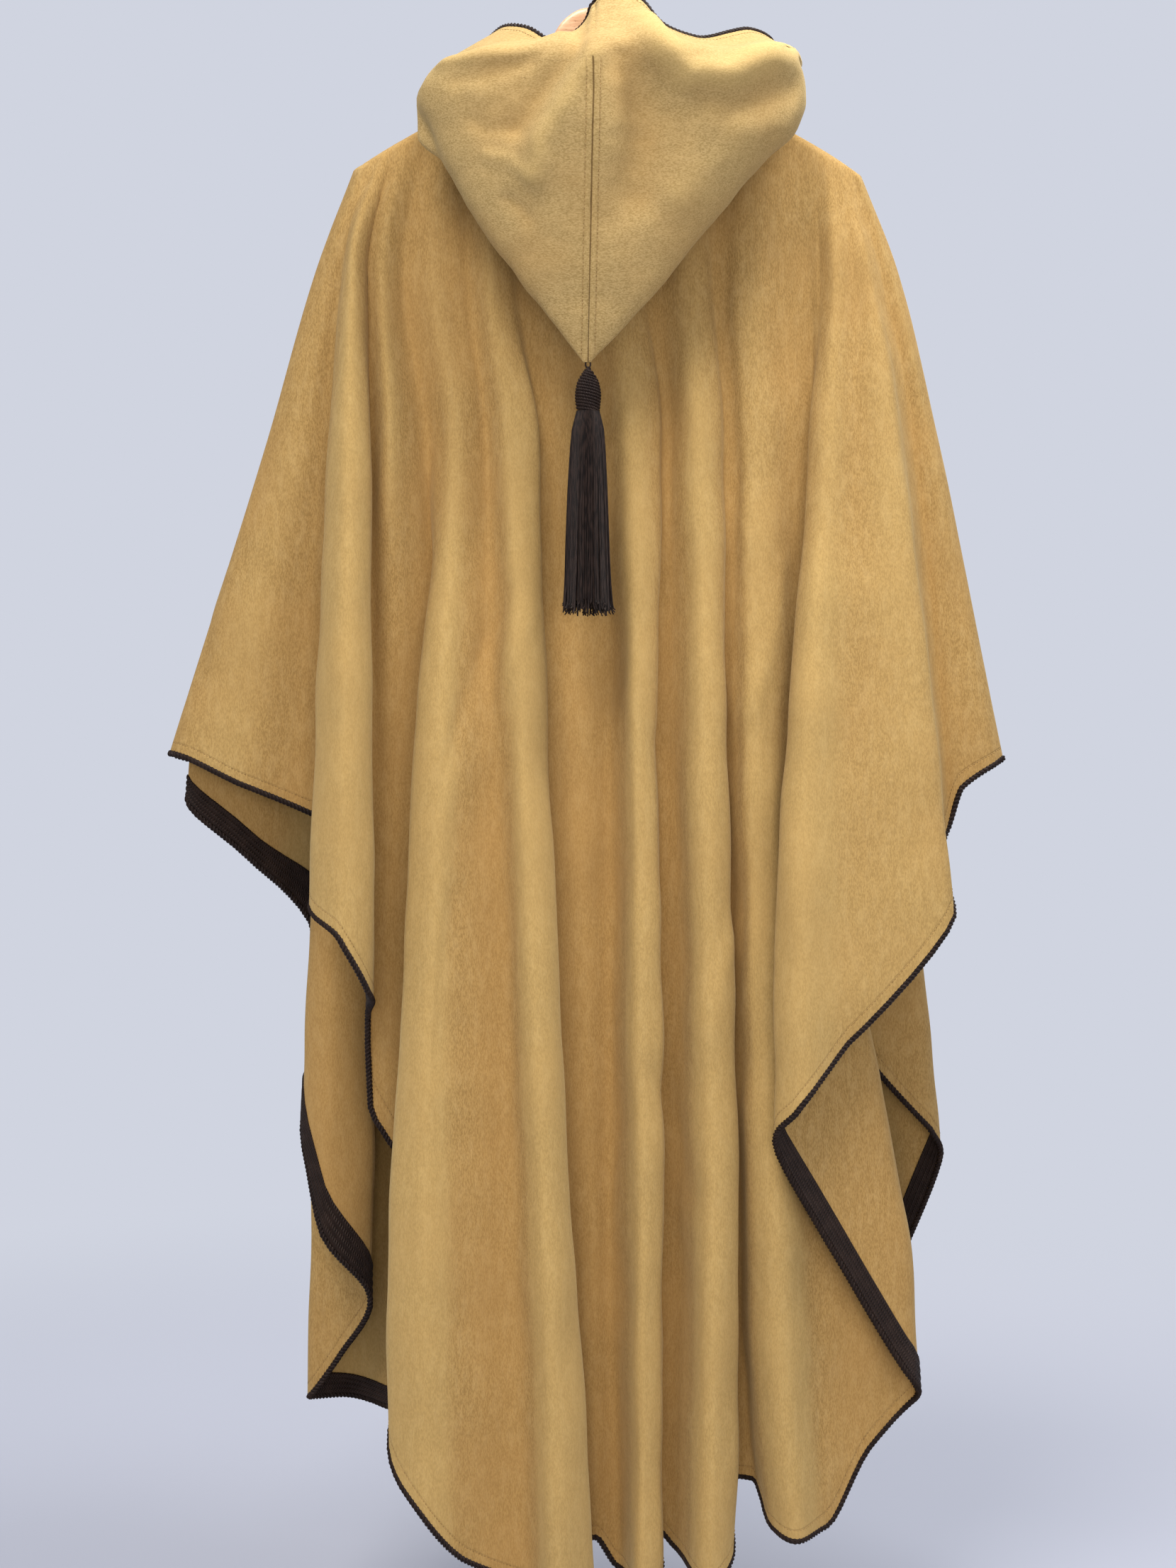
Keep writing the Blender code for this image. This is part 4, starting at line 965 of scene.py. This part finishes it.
def hood_surface(steps, per_station):
    """Middle surface of the hood as points[station, ring] from the edge to the tip."""
    stations = number_table(HOOD_EDGE, 6)
    count = len(stations)
    loops = [stations[:, :3], stations[:, 3:]]
    seen = np.arange(count) < FACE_STATIONS
    j = np.arange(count)
    a = np.where(seen, j / (FACE_STATIONS - 1),
                 1.0 - (j - FACE_STATIONS + 1) / (count - FACE_STATIONS + 1)) * math.pi
    for left, right, side_y, height, seen_y, under_y in number_table(HOOD_RINGS, 6):
        x = left + (right - left) * (1.0 - np.cos(a)) / 2.0
        y = side_y + (np.where(seen, seen_y, under_y) - side_y) * np.sin(a) ** 0.8
        roll = UNDER_ROLL * math.exp(-((height - UNDER_ROLL_Z) / UNDER_ROLL_TALL) ** 2)
        x -= np.where(seen, 0.0, roll * np.clip(np.cos(a), 0.0, 1.0) ** 5)
        y -= np.where(seen, hood_bulge(x, np.full(count, height)) * np.sin(a), 0.0)
        loops.append(np.stack([x, y, np.full(count, height)], axis=1))
    loops = np.array(loops)
    tip = np.array(HOOD_TIP)
    loops = np.concatenate([loops, (tip + (loops[-1] - tip) * 0.05)[None]])
    at = np.linspace(0.0, HOOD_KNOTS[-1], steps + 1)
    line = np.array([[monotone(HOOD_KNOTS, loops[:, c, k], at) for k in range(3)]
                     for c in range(count)]).transpose(0, 2, 1)
    p0, p1, p2, p3 = (np.roll(line, -d, axis=0) for d in (-1, 0, 1, 2))
    t = (np.arange(per_station) / per_station)[None, :, None, None]
    p0, p1, p2, p3 = (p[:, None] for p in (p0, p1, p2, p3))
    a = -0.5 * p0 + 1.5 * p1 - 1.5 * p2 + 0.5 * p3
    b = p0 - 2.5 * p1 + 2.0 * p2 - 0.5 * p3
    fine = ((a * t + b) * t + (p2 - p0) / 2.0) * t + p1
    return fine.reshape(count * per_station, steps + 1, 3)


def hood_normals(points, per_station):
    """Outward normals of the hood."""
    normals = grid_normals(points, closed=True)
    middle = FACE_STATIONS // 2 * per_station
    return -normals if normals[middle, points.shape[1] // 2, 1] > 0.0 else normals


def seam_row(height, outer, normals, seam_x, side):
    """The line of stitches on one side of the hood's seam, with the normals under it."""
    rows, facing = [], []
    for r in range(outer.shape[1]):
        shift = outer[:, r, 0] - seam_x[:, r] - side * SEAM_STITCH
        crossing = np.nonzero((shift[:-1] < 0.0) & (shift[1:] >= 0.0))[0]
        if len(crossing) and height[crossing[0], r] < SEAM_TOP:
            c = crossing[0]
            t = -shift[c] / (shift[c + 1] - shift[c])
            rows.append(outer[c, r] * (1.0 - t) + outer[c + 1, r] * t)
            facing.append(normals[c, r])
    return np.array(rows), np.array(facing)


def hood(finishes):
    """The thrown-back hood: its pouch, centre seam with two rows of stitches, and edge cord."""
    wool, cord, thread = finishes
    per_station, steps = HOOD_FINENESS
    points = hood_surface(steps, per_station)
    normals = hood_normals(points, per_station)
    x, z = points[:, :, 0], points[:, :, 2]
    seam_x = SEAM_X_TIP + (SEAM_X_TOP - SEAM_X_TIP) * (z - HOOD_TIP[2]) / (SEAM_TOP_Z - HOOD_TIP[2])
    column = np.arange(len(points)) / per_station
    seen = np.clip(np.minimum(column, FACE_STATIONS - 1 - column) / 2.0, 0.0, 1.0)[:, None]
    arc = np.array([arc_of(line) for line in points])
    rise = crease_rise(HOOD_CREASES, x, z) * seen * np.clip(arc / CREASE_START, 0.0, 1.0)
    off = np.abs(x - seam_x)
    for height, away, half_w in SEAM_RELIEF:
        rise += seen * height * np.exp(-((off - away) / half_w) ** 2)
    rise += handled(points, HOOD_WAVES)
    tip_fade = np.clip((z - HOOD_TIP[2]) / TIP_STILL, 0.0, 1.0)
    points = points + normals * (rise * tip_fade)[:, :, None]
    normals = hood_normals(points, per_station)
    edge_mm = np.where((column <= FACE_STATIONS - 1)[:, None], np.minimum(arc, FAR), FAR)
    # The crest mark follows the hood's relief, for the painted light and shade of its creases.
    marks = {"crest": np.clip(0.55 + rise / CREST_RISE, 0.0, 1.0), "edge_mm": edge_mm,
             "seam_mm": np.where((seen > 0.0) & (off < FAR) & (z < SEAM_TOP), x - seam_x, FAR)}
    outer, inner = points + normals * WALL / 2.0, points - normals * WALL / 2.0
    cloth = wall("hood_cloth", outer, inner, wool, True, node="hood", slot="wool", marks=marks)
    face = slice(0, (FACE_STATIONS - 1) * per_station + 1)
    line, facing = points[face, 0], normals[face, 0]
    away = unit(np.cross(unit(np.gradient(line, axis=0)), facing))
    away = softened(away if away[len(away) // 2, 2] >= 0.0 else -away, 2 * per_station)
    trim = [plied_cord("hood_edge_cord", line + away * (CORD_R - CORD_IN), away, cord, "hood_cord")]
    edge_row = np.array([[np.interp(STITCH_INSET, arc[c], outer[c, :, k]) for k in range(3)]
                         for c in range(face.stop)])
    trim.append(stitch_row("hood_edge_stitches", edge_row, normals[face, 2], thread))
    for side, label in ((-1.0, "left"), (1.0, "right")):
        row = seam_row(z[face], outer[face], normals[face], seam_x[face], side)
        trim.append(stitch_row("hood_seam_stitches_" + label, *row, thread))


def profile_radius(profile, drop):
    """Radius of a turned shape at a drop below its top."""
    table = np.array(profile, float)
    return monotone(table[:, 0], table[:, 1], drop)


def tassel_core(drop, radii, sides):
    """A round upright bar in the middle of the tassel."""
    line = np.tile(TASSEL_AT, (len(drop), 1))
    line[:, 2] -= drop
    return round_bar(line, np.tile((1.0, 0.0, 0.0), (len(drop), 1)), radii, drop, sides=sides)


def wound_head(cord):
    """The tassel's head: a core wound closely with two-ply cord, under a short loop."""
    x0, y0, z0 = TASSEL_AT
    length = TASSEL_HEAD[-1][0]
    a = np.arange(0.0, (length - HEAD_BARE) / WINDING_PITCH * TURN, 0.16)
    drop = HEAD_BARE + a / TURN * WINDING_PITCH
    drop += 2.2 * np.cos(a) * np.clip(np.minimum(drop - HEAD_BARE, length - drop) / 6.0, 0.0, 1.0)
    r = profile_radius(TASSEL_HEAD, drop)
    path = np.stack([x0 + r * np.cos(a), y0 + r * np.sin(a), z0 - drop], axis=1)
    arc, path, across = spaced(path, 0.75, np.stack([np.cos(a), np.sin(a), 0.0 * a], axis=1))
    winding = round_bar(path, across, WINDING_R, arc, 1.0 / 4.6, (0.6, 0.95, 1.0, 0.95), 8)
    drop = np.linspace(1.0, length, 30)
    core = tassel_core(drop, np.maximum(profile_radius(TASSEL_HEAD, drop) - 0.3, 0.6), 24)
    a = np.linspace(0.15, TURN - 0.15, 30)
    path = np.stack([x0 + 2.1 * np.sin(a), np.full(30, y0), z0 + 1.2 - 3.4 * np.cos(a)], axis=1)
    arc, path, across = spaced(path, 0.6, np.tile((0.0, 1.0, 0.0), (30, 1)))
    hanging = round_bar(path, across, LOOP_R, arc, 1.0 / 3.4, (0.72, 1.0, 1.0), 6)
    parts = (winding, core, hanging)
    verts, faces = joined([part[:2] for part in parts])
    lay = np.concatenate([part[2] for part in parts])
    return new_piece("tassel_head", verts, faces, cord, "tassel", "trim", {"lay_mm": lay})


def tassel_skirt(yarn):
    """The skirt: layers of hanging yarns with loose, uneven ends over a dark core."""
    x0, y0, z0 = TASSEL_AT
    draw = np.random.default_rng(7)
    start, full = SKIRT_SHAPE[0][0], SKIRT_SHAPE[-1][0]
    parts = []
    for count, share in SKIRT_LAYERS:
        for k in range(count):
            a = TURN * (k + draw.uniform(-0.3, 0.3)) / count
            end = full - draw.uniform(-1.0, 9.0)
            drop = np.concatenate([np.linspace(start, end - 7.0, 12), [end - 4.0, end - 1.5, end]])
            r = profile_radius(SKIRT_SHAPE, np.minimum(drop, full)) * share
            t = (drop - start) / (full - start)
            turn = a + draw.normal(0.0, 0.05) * t + 0.012 * np.sin(drop / 17.0 + draw.uniform(0, 6.28))
            r = r + draw.normal(0.0, 0.45) * np.sin(math.pi * t) + draw.normal(0.0, 0.9) * t ** 3
            path = np.stack([x0 + r * np.cos(turn), y0 + r * np.sin(turn), z0 - drop], axis=1)
            path[-3:, :2] += draw.normal(0.0, 1.1, 2) * np.array([[0.0], [0.35], [1.0]])
            across = np.tile((math.cos(a), math.sin(a), 0.0), (len(path), 1))
            parts.append(round_bar(path, across, STRAND_R, drop, sides=4)[:2])
    drop = np.linspace(start, full - 12.0, 24)
    parts.append(tassel_core(drop, np.maximum(profile_radius(SKIRT_SHAPE, drop) - 2.6, 1.0), 28)[:2])
    return new_piece("tassel_skirt", *joined(parts), yarn, slot="trim")


def hanger_arms(wood):
    """The hanger's bowed wooden body, shaped and rounded."""
    table = np.array(HANGER_PROFILE, float)
    x = np.concatenate([np.linspace(0.0, 210.0, 71), np.linspace(211.5, 217.0, 8)])
    top, low = (monotone(table[:, 0], table[:, k], x) for k in (1, 2))
    x, top, low = (np.concatenate([sign * v[:0:-1], v]) for sign, v in ((-1, x), (1, top), (1, low)))
    a = TURN * np.arange(HANGER_SIDES) / HANGER_SIDES
    across, along = (np.sign(v) * np.abs(v) ** HANGER_SQUARE for v in (np.cos(a), np.sin(a)))
    shrink = np.sqrt(np.clip((HANGER_END - np.abs(x)) / HANGER_ROUND, 0.05, 1.0))
    y = across[None] * (HANGER_HALF_THICK * shrink)[:, None]
    half = (top - low) / 2.0
    z = (top - half)[:, None] + along[None] * (half * shrink)[:, None]
    verts = np.stack([np.broadcast_to(x[:, None], y.shape), y, z], axis=2).reshape(-1, 3)
    faces = [face[::-1] for face in tube_faces(len(x), HANGER_SIDES)]
    return new_piece("hanger_arms", verts, faces, wood, "hanger", "wood")


def hanger_hook(metal):
    """The bent wire hook with its rounded end and a collar where it enters the wood."""
    neck = HANGER_PROFILE[0][1]
    path = [(0.0, 0.0, z) for z in np.linspace(neck - 6.0, -2.0 * HOOK_RADIUS - 4.0, 10)]
    for a in np.radians(np.linspace(-90.0, 165.0, 80)):
        z = HOOK_RADIUS * math.sin(a) - HOOK_RADIUS + HOOK_WIRE
        path.append((HOOK_RADIUS * math.cos(a), 0.0, z))
    path = np.array(path)
    for lap in range(6):
        path[:15] = evened(path[:15])
    radii = np.full(len(path), HOOK_WIRE)
    radii[-4:] *= HOOK_BULB
    rises, rims = np.array(COLLAR).T
    ring = np.stack([0.0 * rises, 0.0 * rises, neck + rises], axis=1)
    bars = [round_bar(line, np.tile((0.0, 1.0, 0.0), (len(line), 1)), r, np.arange(float(len(line))),
                      sides=sides)[:2] for line, r, sides in ((path, radii, 16), (ring, rims, 24))]
    return new_piece("hanger_hook", *joined(bars), metal, "hook", "steel")


def studio():
    """A plain pale floor that runs into a pale surround, soft lights and the camera."""
    world = bpy.data.worlds.new("pale_surround")
    bpy.context.scene.world = world
    world.use_nodes = True
    sky = world.node_tree.nodes["Background"]
    sky.inputs["Color"].default_value = linear(SURROUND)
    sky.inputs["Strength"].default_value = SURROUND_STRENGTH
    mesh = bpy.data.meshes.new("floor")
    corners = ((-1, -1), (1, -1), (1, 1), (-1, 1))
    corners = [(FLOOR_HALF * x, FLOOR_HALF * y, FLOOR_Z) for x, y in corners]
    mesh.from_pydata(corners, [], [(0, 1, 2, 3)])
    floor = bpy.data.objects.new("floor", mesh)
    bpy.context.scene.collection.objects.link(floor)
    material, tree, shader = finish_of("painted_floor", {
        "Roughness": 0.9, "Base Color": linear("9DA1AD")})
    place = add(tree, "TexCoord", {}, "Object")
    away = add(tree, "VectorMath", {0: place}, "Value", operation="LENGTH")
    near, far = FLOOR_FADE
    fade = add(tree, "MapRange", {0: away, 1: near, 2: far, 3: 0.0, 4: 1.0}, **SMOOTH)
    glow = add(tree, "Emission", {"Color": linear(SURROUND), "Strength": SURROUND_STRENGTH})
    mix = add(tree, "MixShader", {0: fade, 1: (shader, 0), 2: glow})
    feed(tree, tree.nodes["Material Output"], {"Surface": mix})
    mesh.materials.append(material)
    for name, spot, aim, size, power, colour in LIGHTS:
        lamp = bpy.data.lights.new(name, "AREA")
        lamp.size = size
        lamp.energy = power
        lamp.color = linear(colour)[:3]
        light = bpy.data.objects.new(name, lamp)
        light.location = spot
        light.rotation_euler = (Vector(aim) - Vector(spot)).to_track_quat("-Z", "Y").to_euler()
        bpy.context.scene.collection.objects.link(light)
    eye = bpy.data.cameras.new("camera")
    eye.lens = CAMERA_LENS
    eye.sensor_width = 36.0
    camera = bpy.data.objects.new("camera", eye)
    camera.location = CAMERA_AT
    camera.rotation_euler = (math.radians(90.0), 0.0, 0.0)
    bpy.context.scene.collection.objects.link(camera)
    bpy.context.scene.camera = camera
    bpy.context.scene.view_settings.view_transform = "Standard"


cape_wool = brushed_wool("brushed_wool_cape", (1.0, 1.0, 0.36), "886B3D", "A0814D")
# The hood is the same wool as the cape, with its fibres lying another way; its paler, less saturated
# ground is painted light, for the stronger light from above on the hood.
hood_wool = brushed_wool("brushed_wool_hood_painted_paler", (0.5, 1.0, 1.0), "8F784A", "AB9262")
edge_cord = twisted_viscose("twisted_viscose_cord")
inner_braid = plaited_braid("plaited_viscose_braid")
yarn = spun_thread("spun_viscose_yarn", "120C0A", "2C211C", 0.5)
thread = spun_thread("spun_sewing_thread", "7A6038", "A08150", 0.6)
studio()
hanger_arms(lacquered_beech("lacquered_beech"))
hanger_hook(plated_wire("nickel_plated_wire"))
for part, text, side, open_end in CAPE_PARTS:
    cape_piece(part, text, side, open_end, (cape_wool, edge_cord, inner_braid, thread))
hood((hood_wool, edge_cord, thread))
wound_head(edge_cord)
tassel_skirt(yarn)
